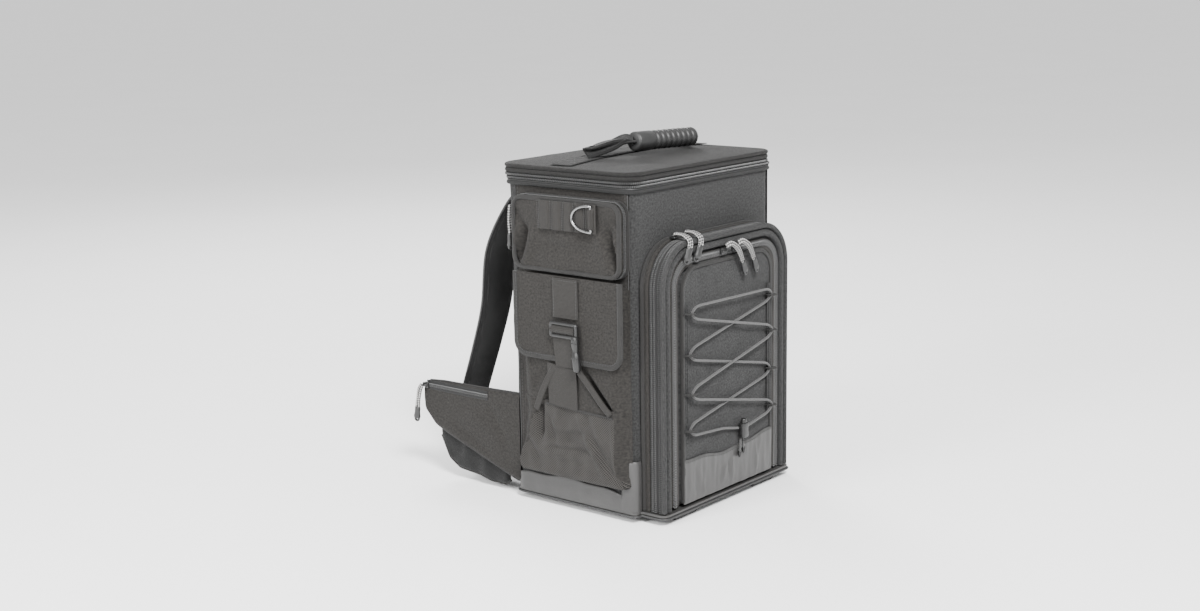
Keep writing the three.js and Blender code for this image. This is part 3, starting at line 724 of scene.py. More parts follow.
def side_colour_panels():
    """The side walls' own cloth, and the seams that join them to the front."""
    for face in ("left", "right"):
        s = -1 if face == "left" else 1
        shape = Shape()
        front_edge, back_edge = 100.5, -96
        a0, a1 = sorted((-s * front_edge, -s * back_edge))
        shape.pad(face, (a0, a1, 44, 449), (1, 1), HALF - 2.8,
                  lambda x, y, d: 2.4 + rise(d, 1.2) * 0.9 + 0.25 * ripple(x, y, 5, 60), 0, step=6)
        for edge in (front_edge, back_edge):
            at = -s * edge
            path = np.stack([np.full(60, at), np.linspace(46, 448, 60)], 1)
            points = lay(face, path, HALF + 0.5)
            shape.tube(points, circle(0.9, 6), up=(1, 0, 0), slot=1)
            points = on_face(face, path[:, 0] - np.sign(at) * 4, path[:, 1], HALF + 0.5)
            stitches(shape, points, (s, 0, 0), 2)
        shape.build(f"{face}_side_cloth", [SIDE, PIPE, THREAD], "pack", "side_fabric")


def vinyl_base():
    shape = Shape()
    ring = footprint(2.4)
    for z, order in ((11.8, -1), (15.0, 1)):
        shape.cap(level(ring, z)[::order])
    shape.grid(np.stack([level(ring, z) for z in (11.8, 13.4, 15.0)], 1), 0,
               wrap_i=True)
    corners = [(152, -DEEP), (HALF, -DEEP), (HALF, DEEP), (-HALF, DEEP), (-HALF, -DEEP), (-152, -DEEP)]
    line = rounded(corners, (0, 7, 16, 16, 7, 0), 3, closed=False)
    run = np.concatenate([[0], np.cumsum(np.linalg.norm(np.diff(line, axis=0), axis=1))])
    top = 42 + 3.2 * np.sin(run / 31) + 1.6 * np.sin(run / 11 + 1)
    ends = np.minimum(run, run[-1] - run)
    top = np.where(ends < 27, 86, top)
    _, inward = directions(line)
    profile = [(-0.2, 0), (-2.6, 0), (-2.9, 0.15), (-2.9, 0.4), (-2.8, 0.7), (-2.8, 0.9), (-2.5, 0.97),
               (-1.4, 1), (-0.2, 0.98)]
    points = np.zeros((len(line), len(profile), 3))
    for j, (inset, t) in enumerate(profile):
        dent = 0.5 * ripple(run, np.full(len(run), t * 30), 8, 26) * (0.1 < t < 0.9)
        points[:, j, :2] = line + inward * (inset + dent[:, None] + 0.3 * (0.1 < t < 0.9))
        points[:, j, 2] = 12 + (top - 12) * t
    shape.grid(points, 0, wrap_j=True)
    shape.cap(points[0])
    shape.cap(points[-1][::-1])
    shape.build("vinyl_base", [VINYL], "pack", "vinyl", ["base_boot"])

    welt = Shape()
    ring = footprint(3.0)
    welt.tube(level(ring, 9.9), circle(1.7, 8), closed=True)
    ring = footprint(0.2)
    welt.tube(level(ring, 9.9), flat(6, 2.4, 3), closed=True)
    welt.build("bottom_piping", [PIPE], "pack", "piping", ["bottom_welt"])


def runners():
    for label in ("left", "right"):
        low, high = span(f"{label}_runner")
        shape = Shape()
        shape.block((low + high) / 2, high - low, 2.4)
        for y in np.linspace(low[1] + 8, high[1] - 8, 12):
            shape.block(((low[0] + high[0]) / 2, y, 0.9), (high[0] - low[0] - 9, 5, 1.6), 0.6, segments=1)
        shape.build(f"{label}_foot_rail", [PLASTIC], "pack", "hard_plastic", [f"{label}_runner"])


def gusset_teeth(shape, line, inset, depth, slot, length=3.2, pitch=2.7):
    """A column of zip coil on the wall round the door, facing outwards."""
    line = resample(line, pitch)
    tangent, inward = directions(line)
    at = line + inward * inset
    path = lay("front", at, depth)
    along = lay("front", tangent, 0)
    outward = on_face("front", -inward[:, 0], -inward[:, 1], 0)
    shape.bars(path, np.array([0.0, 1.0, 0.0]) + along * 0.25, outward, length, pitch * 0.62, 1.3, slot)


def ring_profile(inset, depth, radius, sides=8):
    return circle(radius, sides, (inset, depth))


def door_gusset():
    shape = Shape()
    line = arch_line(DOOR_HALF + 0.5, 16.2, DOOR_TOP + 0.5, DOOR_CORNER + 0.5, 5)
    n0, n1 = DEEP + 0.3, 121.4
    shape.band("front", line, [(8.9, n0), (1.6, n0), (1.5, 113.6), (2.0, 115.2), (1.2, 116.4), (0.2, 117.2),
                               (-0.1, 119), (0.3, 120.8), (1.2, n1), (8.9, n1)])
    shape.band("front", line, [(1.8, 107.6), (0.4, 107.8), (-0.7, 109), (-0.9, 110.6), (-0.7, 112.3),
                               (0.3, 113.5), (1.8, 113.7)], slot=1)
    shape.build("door_gusset", [SIDE, BINDING], "pack", "front_fabric", ["door_frame"])


def door_shell():
    shape = Shape()
    outline = arch_line(DOOR_HALF, 17, DOOR_TOP, DOOR_CORNER, 5)
    half, top, radius = DOOR_HALF - 18.5, DOOR_TOP - 18.5, DOOR_CORNER - 18.5
    shape.band("front", outline, [(9, 122.2), (1.4, 122.2), (1.0, 123), (1.3, 132.8), (1.9, 133.6),
                                  (1.9, 134.8), (1.2, 135.6), (1.0, 141.6), (9, 141.8)], slot=2)
    for depth in (125.2, 130.0, 137.2, 140.6):
        gusset_teeth(shape, outline, 1.3, depth, 3, 4.2 if depth < 134 else 3.0)
    shape.band("front", outline, [
        (8.6, 128.5), (2.2, 140.5), (0.7, 142), (-0.2, 143.4), (-0.2, 145), (0.8, 146.4), (2.6, 147.0),
        (5.0, 146.8), (6.6, 145.6), (7.2, 143.5), (7.6, 141.0), (8.6, 140.6),
    ])
    shape.band("front", outline, [
        (8.4, 128.5), (8.6, 141.0), (9.4, 144.4), (10.6, 146.0), (13, 146.7), (16, 146.3), (17.8, 145),
        (18.5, 142), (18.5, 136), (18.5, 128.5),
    ])
    shape.band("front", outline, ring_profile(1.0, 142.4, 0.9, 6), slot=1)
    plate = (-half + 0.3, half - 0.3, 17, top - 0.3)
    shape.pad("front", plate, (2, radius), 122.2, lambda x, y, d: 13.4 + 0 * x, 0, 4, step=9)
    shape.band("front", arch_line(half - 4, 20, top - 4, radius - 4, 6), ring_profile(0, 122.6, 1.6), slot=1)
    shape.build("door_cloth", [FRONT, PIPE, TAPE, TEETH, LINING], "door", "front_fabric", ["door_panel"])


def door_binding():
    shape = Shape()
    outline = arch_line(DOOR_HALF - 19, 20, DOOR_TOP - 19, DOOR_CORNER - 19, 4)
    shape.band("front", outline, [(0, 136.4), (0, 138.4), (3.4, 138.6), (3.4, 136.4)], slot=1)
    shape.band("front", outline, [
        (3.2, 136.4), (3.0, 140.5), (4.0, 142.6), (6.4, 143.7), (9.0, 144.1), (12, 143.9), (15, 143.2),
        (18.2, 142.6), (19.2, 140.5), (19.3, 136.4),
    ])
    path = resample(outline, 3.6)
    tangent, inward = directions(path)
    for inset, lean, length, height in ((6.4, 0.75, 6.2, 1.5), (11.0, -0.75, 5.6, 1.3)):
        at = path + inward * inset
        slant = on_face("front", inward[:, 0] + tangent[:, 0] * lean, inward[:, 1] + tangent[:, 1] * lean, 0)
        shape.bars(lay("front", at, 143.6), slant, (0, -1, 0), length, 2.7, height, 2)
    shape.build("door_binding", [MESH, TAPE, TEETH], "door", "zip_tape", ["door_pocket_zip"])


def front_pocket():
    folds = [((-70, 330), (-60, 260), 16, -0.9), ((30, 300), (45, 210), 20, -0.8),
             ((-40, 230), (-75, 150), 14, -0.8), ((70, 200), (60, 100), 16, 0.7),
             ((0, 180), (-10, 90), 20, 0.6), ((-95, 320), (-40, 345), 9, -0.7)]

    def relief(x, y, d):
        high = 8.9 + 1.1 * ripple(x, y, 21, 90) + 0.45 * ripple(x, y, 22, 34)
        high = creased(high, x, y, folds)
        return np.minimum(rise(d, 4) * high, 10.4)

    shape = Shape()
    shape.pad("front", (-POCKET_HALF, POCKET_HALF, 20, POCKET_TOP), (3, POCKET_CORNER), 136.5, relief, 0, 2,
              3.5)
    edge = arch_line(POCKET_HALF + 0.2, 22, POCKET_TOP + 0.2, POCKET_CORNER, 4)
    shape.band("front", edge, [(0, 143.5), (-0.2, 145.5), (0.6, 147.2), (2.2, 147.9), (4.5, 147.8),
                               (6.0, 147), (6.2, 145.5), (6.0, 143.5)], slot=1,
               wave=lambda a, b: 0.2 * ripple(a, b, 25, 18))
    seam = arch_line(POCKET_HALF - 4.4, 78, POCKET_TOP - 4.4, POCKET_CORNER - 4, 4)
    stitches(shape, lay("front", seam, 147.6), (0, -1, 0), 3)
    shape.build("pocket_cloth", [FRONT, BINDING, LINING, THREAD], "front_pocket", "front_fabric",
                ["pocket_panel"])


def kick_vinyl():
    u, v = np.meshgrid(np.linspace(-1, 1, 110), np.linspace(0, 1, 26), indexing="ij")
    x = u * 107
    top = KICK_TOP - 4 * np.cos(math.pi * u) - 1.5 + 1.2 * np.sin(u * 9)
    z = 20 + (top - 20) * v
    rng = np.random.default_rng(4)
    high = 1.2 + 0.6 * ripple(x * 1.6, z * 0.5, 31, 24)
    for _ in range(26):
        c = rng.uniform(-100, 100)
        lean = rng.uniform(-9, 9)
        high = high + crease(x, z, (c, rng.uniform(18, 34)), (c + lean, rng.uniform(44, 76)),
                             rng.uniform(2, 4.5), rng.uniform(-1.3, 1.3))
    edge = np.minimum(np.minimum((1 - np.abs(u)) * 107, (1 - v) * 55), v * 55 + 1)
    high = np.clip(high, 0.1, 3.0) * rise(edge, 2.0)
    outer = on_face("front", x, z, 147.1 + high)
    back = on_face("front", x, z, 146.6)
    shape = Shape()
    shape.two_faces(outer, back, uv=(x, z))
    hem = on_face("front", x[:, -1], z[:, -1] - 3.4, 148.6 + 0 * x[:, -1])
    stitches(shape, hem[3:-3], (0, -1, 0), 1)
    shape.build("kick_vinyl", [VINYL, THREAD], "front_pocket", "vinyl", ["kick_panel"])


LACE_LEFT = (285, 228, 174, 123)
LACE_RIGHT = (280, 229, 173, 119)
LOCK_X = 25


def lacing():
    for side, label, heights in ((-1, "left", LACE_LEFT), (1, "right", LACE_RIGHT)):
        shape = Shape()
        shape.pad("front", (side * 98 - 4, side * 98 + 4, 106, 296), (2, 2), 147.2,
                  lambda x, y, d: 0.2 + rise(d, 2) * 0.5, 0, step=3)
        for z in heights:
            path = on_face("front", np.array([side * 98 + c for c in (-5.5, -5, -2.5, 1.5, 4.2, 4.8)]),
                           z, np.array([147.6, 151.5, 157.2, 157.4, 152, 147.6]))
            shape.tube(spline(path, 1.5), flat(8, 0.9, 4), slot=1)
        shape.build(f"{label}_loop_tape", [FRONT, BINDING], "front_pocket", "webbing", [f"loop_tape_{label}"])

    inner, outer, reach = 150.9, 154.9, 99
    turn = lambda side, height, way, depth: [
        (side * (reach - 12), height + 9 * way, depth), (side * reach, height, depth),
        (side * (reach - 12), height - 9 * way, depth)]
    (l1, l2, l3, l4), (r1, r2, r3, r4) = LACE_LEFT, LACE_RIGHT
    route = [
        (LOCK_X - 7.8, 101, inner), (LOCK_X - 45, l4 - 14, inner),
        *turn(-1, l4, -1, inner), *turn(1, r3, -1, inner), *turn(-1, l2, -1, inner),
        (reach - 12, r1 - 9, inner), (reach, r1, (inner + outer) / 2), (reach - 12, r1 + 10, outer),
        *turn(-1, l1, 1, outer), *turn(1, r2, 1, outer), *turn(-1, l3, 1, outer), *turn(1, r4, 1, outer),
        (LOCK_X + 7.8, 101, outer),
    ]
    a, b, n = relaxed(route, 2.0, 4.5).T
    shape = Shape()
    shape.tube(on_face("front", a, b, n), circle(1.75, 8), up=(0, -1, 0))
    shape.build("bungee", [ELASTIC], "front_pocket", "bungee", ["bungee_cord"])

    lock = Shape()
    middle, depth = 154.9, 5.4
    levels = [(86, 0.55), (86.6, 0.8), (88, 0.95), (92, 1.0), (97, 0.93), (102, 0.97), (106, 1.0),
              (107.6, 0.93), (108, 0.75)]
    rim = squircle(7.5, depth, 0.6, 24)
    rings = np.stack([on_face("front", LOCK_X + rim[:, 0] * k, z, middle + rim[:, 1] * k) for z,
                      k in levels], 1)
    lock.stack(rings)
    for dx, lean, low in ((-2, -3, 62), (2.6, 2, 66)):
        path = [(LOCK_X + dx, 88, 151.5), (LOCK_X + dx + lean * 0.4, 80, 151.5),
                (LOCK_X + dx + lean, low, 151.2)]
        a, b, n = spline(path, 2).T
        lock.tube(on_face("front", a, b, n), circle(1.7, 8), up=(0, -1, 0), slot=1)
        knot = on_face("front", a[-1], b[-1] + np.array([6, 4, 1, -2, -4]), 151.6)
        lock.tube(knot, circle(1.0, 8), up=(0, -1, 0), slot=0, scale=[0.9, 2.6, 2.9, 2.5, 1.2])
    lock.build("cord_lock_body", [PLASTIC, ELASTIC], "front_pocket", "hard_plastic", ["cord_lock"])

    button = Shape()
    path = on_face("front", LOCK_X, np.array([102, 106, 109, 112.2, 113.2, 113.8, 114.0]),
                   middle)
    button.tube(path, circle(4.2, 20), up=(0, -1, 0), scale=[1, 1, 1, 1, 0.95, 0.8, 0.4])
    button.build("lock_plunger", [PLASTIC], "lock_button", "hard_plastic", ["cord_lock_button"])


# --- Zip sliders and their pulls ---

def slider(shape, centre, along, up, slot=0):
    """A slider: a body with a waist, and a bridge over it."""
    along, up = unit(np.array(along, float)), unit(np.array(up, float))
    side = np.cross(along, up)
    turn = Matrix(np.stack([side, along, up], 1).tolist())
    centre = np.array(centre, float)
    shape.block(centre - along * 2.4, (9.2, 6.4, 3.2), 1.1, slot, turn)
    shape.block(centre + along * 2.6, (6.4, 6.6, 3.0), 1.1, slot, turn)
    bridge = [centre + along * t + up * h for t, h in ((-4.6, 1.4), (-4.2, 3.6), (0, 4.8), (3.6, 3.6),
                                                       (4.2, 1.2))]
    shape.tube(spline(bridge, 1), flat(2.8, 1.1, 3), up=up, slot=slot)


def pull(shape, points, up, cord_slot=0, tip_slot=1):
    """A zip pull: two strands of cord side by side, then a moulded end with a hole."""
    path = spline(points, 1.4)
    tangent = tangents(path)
    side = unit(np.cross(tangent, np.broadcast_to(np.array(up, float), path.shape)))
    normal = np.cross(side, tangent)
    t = np.linspace(0, 1, len(path))[:, None]
    for s in (-1, 1):
        gap = s * (1.7 + 0.5 * np.sin(t * math.pi))
        strand = path + side * gap + normal * 0.4 * s * np.sin(t * 9)
        shape.tube(strand, circle(1.85, 10), up=up, slot=cord_slot)
    end, out = path[-1], tangent[-1]
    at = np.array([-7.5, -6.8, -5, -2, 2, 6, 9, 10.5])
    shape.tube(end + at[:, None] * out, circle(1, 14) * [5.7, 3.9], up=up, slot=tip_slot,
               scale=[0.6, 0.8, 0.86, 0.84, 0.86, 1, 1.02, 0.8])
    a = np.linspace(0, 2 * math.pi, 21)[:-1, None]
    ring = end + out * 11.2 + (out * np.cos(a) * 3.3 + side[-1] * np.sin(a) * 3.5)
    shape.tube(ring, circle(1.7, 8), up=normal[-1], closed=True, slot=tip_slot)


def zip_head(label, moving, node, centre, along, up):
    """A slider as its own piece, on its own body."""
    head = Shape()
    slider(head, centre, along, up)
    head.build(label, [PLASTIC], moving, "hard_plastic", [node])


def zip_tag(label, moving, node, points, up):
    """A pull as its own piece, on its own body."""
    tag = Shape()
    pull(tag, points, up)
    tag.build(label, [BRAID, TIP], moving, "pull_cord", [node])


def zip_whole(label, moving, node, centre, up, points, pull_up=None):
    """A slider and its pull as one piece."""
    shape = Shape()
    slider(shape, centre, (0, 1, 0), up, 2)
    pull(shape, points, pull_up or up)
    shape.build(label, [BRAID, TIP, PLASTIC], moving, "pull_cord", [node])


def front_pulls():
    top, y = DOOR_TOP + 0.8, -DOOR_FRONT
    for i, x, lean in ((1, -93, -6), (2, -68, -8)):
        zip_head(f"door_zip_head_{i}", f"door_zip_{i}", f"door_slider_{i}", (x, -124, top + 2), (1, 0, 0),
                 (0, 0, 1))
        cord = [(x, -125, top + 7.0), (x, -138, top + 6.8), (x + lean / 3, y - 3, top + 2.5),
                (x + lean / 2, y - 6, top - 5), (x + lean, y - 5, top - 16)]
        zip_tag(f"door_zip_pull_{i}", f"door_tag_{i}", f"door_pull_{i}", cord, (0, -0.6, 0.8))
    for i, x in ((1, -16), (2, 11)):
        centre = on_face("front", x, 358, 149.4)
        zip_head(f"pocket_zip_head_{i}", f"pocket_zip_{i}", f"pocket_slider_{i}", centre, (1, 0, 0),
                 (0, -1, 0))
        cord = [on_face("front", x + a, b, n) for a, b, n in (
            (0, 366, 154.9), (9, 368, 157), (22, 360, 158), (34, 346, 156), (41, 333, 155))]
        zip_tag(f"pocket_zip_pull_{i}", f"pocket_tag_{i}", f"pocket_pull_{i}", cord, (0, -1, 0.2))


def side_pulls():
    zip_head("side_zip_head", "side_zip", "left_pocket_slider", (-175, 90.6, 419), (0, 0, 1), (0, 1, 0))
    cord = [(-175, y, z) for y, z in ((95.9, 422), (97.2, 413), (97.2, 394), (97, 375))]
    zip_tag("side_zip_pull", "side_tag", "left_pocket_pull", cord, (0, 1, 0))
    x = LID_HIGH[0] + 2.2
    for i, y in ((1, 95), (2, 60)):
        cord = [(x + 3, y, 461), (x + 3.4, y, 452), (x + 3, y, 436), (x + 3, y, 426)]
        zip_whole(f"lid_zip_head_{i}", f"lid_zip_{i}", f"lid_slider_{i}", (x, y, 461), (1, 0, 0), cord)
    cord = [(176, 60, 403), (184, 60, 402), (187.4, 60, 391), (187.4, 60, 360)]
    zip_whole("right_zip_head", "right_side_zip", "right_pocket_slider", (174.5, 60, 399), (0, 0, 1), cord,
              (0.9, 0, 0.4))
    zip_head("left_hip_zip_head", "left_hip_zip", "left_hip_slider", (-167, 281, 138.5), (0, 1, 0),
             (-1, 0, 0))
    cord = [(-172.6, 284, 139), (-172.8, 289, 130), (-172.8, 293, 112), (-172.8, 295, 97)]
    zip_tag("left_hip_zip_pull", "left_hip_tag", "left_hip_pull", cord, (-1, 0, 0))
    cord = [(170, 284, 139), (170.2, 288, 130), (170.2, 290, 112), (170.2, 291, 98)]
    zip_whole("right_hip_zip_head", "right_hip_zip", "right_hip_slider", (167.4, 281, 138.5), (1, 0, 0), cord)


# --- Lid and handle ---

LID_CLOTH_TOP = 478


def crown(x, y):
    middle, reach = (LID_LOW[1] + LID_HIGH[1]) / 2, (LID_HIGH[1] - LID_LOW[1]) / 2 + 1
    return 7 * (1 - (x / (LID_HIGH[0] + 1)) ** 2) * (1 - ((y - middle) / reach) ** 2)


def on_lid(x, y, lift):
    """Points above the lid's crowned top."""
    return np.stack([x, y, LID_CLOTH_TOP + crown(x, y) + lift], -1)


def lid_teeth(shape, ring, inset, z, length, closed=False, keep=slice(None)):
    """Half of the lid's zip: slanted teeth that face outwards."""
    tangent = tangents(ring, closed)
    out = level(np.stack([tangent[:, 1], -tangent[:, 0]], 1), 0.0)
    slant = np.array([0, 0, 1.0]) + level(tangent, 0.0) * 0.4
    shape.bars(level(ring - out[:, :2] * inset, z)[keep], slant[keep], out[keep], length, 1.9, 1.5, 2)


def lid():
    half, front, rear = LID_HIGH[0], LID_LOW[1], LID_HIGH[1]
    outline = box_line(-half, half, front, rear, LID_CORNER, 4)
    shape = Shape()
    x, y, d = panel(-half + 0.6, half - 0.6, front + 0.6, rear - 0.6, (25.4, 25.4), 6)
    dips = [((-140, -40), (-60, -90), 12, -0.7), ((60, -70), (140, -20), 14, -0.6),
            ((-20, 60), (90, 80), 12, -0.5), ((-158, 20), (-130, 80), 10, -0.5)]
    z = 476.4 + rise(d, 3.5) * 1.7 + crown(x, y) - 0.35 + 0.35 * ripple(x, y, 41, 70)
    z = creased(z, x, y, dips)
    shape.grid(np.stack([x, y, z], -1), 0, uv=(x, y))
    shape.grid(np.stack([x, y, np.full_like(x, 461.6)], -1)[:, ::-1], 4, uv=(x, y))
    shape.band("top", outline, [(3.5, 461.4), (1.4, 461.4), (1.0, 464.6), (2.2, 465.4), (0.6, 466.0),
                                (-0.5, 467.4), (-0.6, 469.2), (0.2, 471.0), (2.0, 471.9), (0.3, 472.6),
                                (-0.9, 474.0), (-1.0, 475.6), (0.0, 477.2), (1.8, 477.9), (3.8, 477.2)],
                                closed=True, slot=0)
    ring = resample(outline, 3.0, closed=True)
    keep = (ring[:, 1] < rear - 1) | (np.abs(ring[:, 0]) > half - 20)
    lid_teeth(shape, ring, 0.9, 463.0, 3.8, True, keep)
    shape.build("lid_cloth", [TOP, PIPE, TEETH, THREAD, LINING], "lid", "front_fabric", ["lid_panel"])

    lower = Shape()
    out_x, out_y, back_y = HALF + 3.4, DEEP + 3.2, DEEP + 11.5
    line = rounded([(-HALF + 20, back_y), (-out_x, back_y), (-out_x, -out_y), (out_x, -out_y),
                    (out_x, back_y), (HALF - 20, back_y)], (0, 18, 18, 18, 18, 0), 4, closed=False)
    lower.band("top", line, [(2.9, 449), (1.4, 448.9), (-0.2, 449.8), (-0.8, 451.6), (-0.3, 453.4),
                             (1.2, 454.4), (1.0, 456.6), (0.9, 460.3), (2.9, 460.3)], slot=0,
               wave=lambda a, b: 0.2 * ripple(a, b, 44, 22))
    lower.band("top", line, ring_profile(1.0, 455.6, 0.8, 6), slot=1)
    lid_teeth(lower, resample(line, 3.0), 0.7, 458.7, 3.6)
    ledge = [(x, (DEEP + rear) / 2 - 0.5, 458.3) for x in np.linspace(-HALF + 16, HALF - 16, 24)]
    lower.tube(ledge, flat(rear - DEEP + 1, 4.0, 6))
    lower.build("lid_zip_tape", [TAPE, PIPE, TEETH], "pack", "zip_tape", ["lid_zip_lower"])


def handle():
    x, y = np.meshgrid(np.linspace(-158, 158, 90), np.linspace(-1, 37, 16), indexing="ij")
    z = LID_CLOTH_TOP + crown(x, y) + 0.45 + 1.6 * rise(np.minimum(158.2 - np.abs(x),
                                                                   19.2 - np.abs(y - 18)), 1.4)
    shape = Shape()
    shape.grid(np.stack([x, y, z], -1), 0, uv=(y, x))
    shape.grid(on_lid(x, y, -0.2)[:, ::-1], 0)
    for s in (-1, 1):
        for inset in (4, 9):
            line = on_lid(np.linspace(-155, 155, 90), np.full(90, 18 + s * (19 - inset / 2)), 2.1)
            stitches(shape, line, (0, 0, 1), 1)
        box = box_line(s * 128 - 18, s * 128 + 18, 3, 33, 1)
        stitches(shape, on_lid(*box.T, 2.2), (0, 0, 1), 1, closed=True)
        for q in (-1, 1):
            t = np.linspace(-1, 1, 20)
            stitches(shape, on_lid(s * 128 + 17 * t, 18 + 14 * t * q, 2.2), (0, 0, 1), 1)
    shape.build("handle_patch", [TOP, THREAD], "lid", "webbing", ["handle_strap"])

    a, b = np.array([-57.0, -29, 505]), np.array([70.0, -35, 501])
    grip = Shape()
    length = np.linalg.norm(b - a)
    stations = [(0, 0.72), (0.6, 0.92), (2, 1.0), (length * 0.255, 1.0), (length * 0.27, 0.93)]
    pitch = (length * 0.73 - 5) / 8
    for i in range(8):
        start = length * 0.27 + i * pitch
        stations += [(start + pitch * t, k) for t, k in (
            (0.1, 0.84), (0.28, 0.83), (0.4, 0.93), (0.52, 0.99), (0.7, 1.0), (0.88, 0.97), (0.98, 0.88))]
    stations += [(length - 4.5, 0.99), (length - 2.5, 0.95), (length - 0.8, 0.84), (length, 0.66)]
    path = a + np.array([t for t, _ in stations])[:, None] * (b - a) / length
    grip.tube(path, circle(13.5, 28), scale=[k for _, k in stations])
    grip.build("grip_sleeve", [RUBBER], "handle", "grip_rubber", ["handle_grip"])

    loop = Shape()
    points = [(-95, 18, 491.9), (-83, 6, 497.5), (-67, -23, 504), a, (a + b) / 2, b, (80, -27, 499),
              (89, 6, 496.5), (95, 18, 491.9)]
    path = spline(points, 3)
    t = np.linspace(0, 1, len(path))
    out = np.clip(np.maximum(0.13 - t, t - 0.87) / 0.13, 0, 1)
    section = flat(12, 4, 5)
    sections = np.stack([section * [1 + 1.3 * o, 1 + 0.5 * o] for o in out])
    twist = out * 0.9 * np.sin(out * 2.2) * np.where(t < 0.5, 1, 0.4)
    ups = np.stack([np.sin(twist), np.zeros(len(t)), np.cos(twist)], 1)
    loop.tube(path, sections, up=ups)
    for s, end in ((-1, a), (1, b)):
        for k, (wide, lift) in enumerate(((26, 0), (22, 5.0))):
            fold = [(s * (104 - 6 * k), 18, 490.2 + lift * 0.2), (s * 95, 12, 492.5 + lift),
                    (end[0] + s * 21, end[1] + 24, 499.5 + lift),
                    (end[0] + s * 9, end[1] + 9, end[2] + 4 - 3 * k),
                    (end[0] + s * 1.5, end[1] + 1, end[2] + 2 - 3 * k)]
            path = spline(fold, 2.5)
            t = np.linspace(0, 1, len(path))
            pinch = 1 - 0.45 * t ** 2
            loop.tube(path, flat(wide, 4.4, 7), up=(0.3 * s * (1 - 2 * k), -0.35, 0.9),
                      scale=np.stack([pinch, 1 + 0.5 * t], 1))
    loop.build("handle_webbing", [STRAP], "handle", "webbing", ["handle_loop"])


# --- Left side ---

def wall_teeth(shape, face, line, depth, slot, closed=False):
    """Both sides of a zip chain round a pocket's walls."""
    ring = resample(line, 2.1, closed)
    tangent, inward = directions(ring, closed)
    along = lay(face, tangent, 0)
    out = on_face(face, -inward[:, 0], -inward[:, 1], 0)
    across = on_face(face, 0, 0, 1)
    for s in (-1, 1):
        path = lay(face, ring, depth + s * 1.4)
        shape.bars(path, across * s + along * 0.3, out, 2.8, 1.6, 1.1, slot)


def zip_pocket(face, box, radius, back, front, name, replaced, folds, seed, extra=None):
    """A bellows pocket with bound edges and a zip round its wall."""
    a0, a1, b0, b1 = box
    height = front - back

    def relief(x, y, d):
        high = height - 2.0 + 1.7 * ripple(x, y, seed, 62) + 0.5 * ripple(x, y, seed + 1, 24)
        high = creased(high, x, y, folds, 1.4)
        return rise(d, 5.0) * np.clip(high, 3, height)

    shape = Shape()
    shape.pad(face, (a0 + 1.2, a1 - 1.2, b0 + 1.2, b1 - 1.2), (radius, radius), back, relief, 0, step=3.2)
    outline = box_line(a0 + 1.2, a1 - 1.2, b0 + 1.2, b1 - 1.2, radius - 1, 4)
    shape.band(face, outline, ring_profile(0.2, back + 1.6, 1.6), closed=True, slot=1)
    wave = lambda a, b: 0.5 * ripple(a, b, seed + 2, 50)
    shape.band(face, outline, [(0, front - 5.2), (-0.6, front - 3), (0.6, front - 1.2), (2.4, front - 0.5),
                               (4.6, front - 0.6), (5.6, front - 1.6), (5.2, front - 4.5)], closed=True,
               slot=1, wave=wave)
    shape.band(face, outline, ring_profile(-0.1, back + 5.2, 0.9, 6), closed=True, slot=1)
    wall_teeth(shape, face, box_line(a0 + 0.9, a1 - 0.9, b0 + 0.9, b1 - 0.9, radius, 4),
               back + height * 0.48, 2, closed=True)
    if extra:
        extra(shape)
    return shape.build(name, [SIDE, BINDING, TEETH, THREAD], "pack", "side_fabric", replaced)


def left_upper_pocket():
    folds = [((-62, 400), (-82, 342), 7, -9), ((-48, 398), (-66, 342), 7, 2.5),
             ((78, 402), (98, 346), 7, -10), ((64, 400), (80, 344), 7, 2.5),
             ((-30, 372), (60, 366), 9, -2.2), ((-40, 352), (70, 349), 7, 1.6),
             ((-84, 420), (-66, 392), 6, -3), ((100, 420), (80, 396), 6, -3),
             ((-76, 395), (-84, 360), 4, 3), ((92, 396), (100, 362), 4, 3)]
    zip_pocket("left", (-88, 104, 336, 440), 18, HALF + 0.4, 185.4, "left_upper_pocket",
               ["left_zip_pocket"], folds, 51)


def d_ring(name, node, body):
    """A wire ring: a straight bar with a bow from end to end of it."""
    low, high = span(node)
    middle = (low + high) / 2
    s = 1 if middle[1] > -60 and middle[0] < 0 else -1
    bar_y = low[1] + 1.5 if s > 0 else high[1] - 1.5
    reach = (high[1] - low[1]) - 3
    half = (high[2] - low[2]) / 2 - 1.5
    a = np.linspace(-math.pi / 2, math.pi / 2, 30)
    bow = [(middle[0], bar_y + s * reach * math.cos(t) ** 0.85, middle[2] + half * math.sin(t)) for t in a]
    bar = [(middle[0], bar_y, middle[2] + half * t) for t in np.linspace(0.95, -0.95, 12)]
    shape = Shape()
    shape.tube(np.array(bow + bar), circle(1.75, 12), up=(1, 0, 0), closed=True)
    shape.build(name, [STEEL], body, "ring_steel", [node])


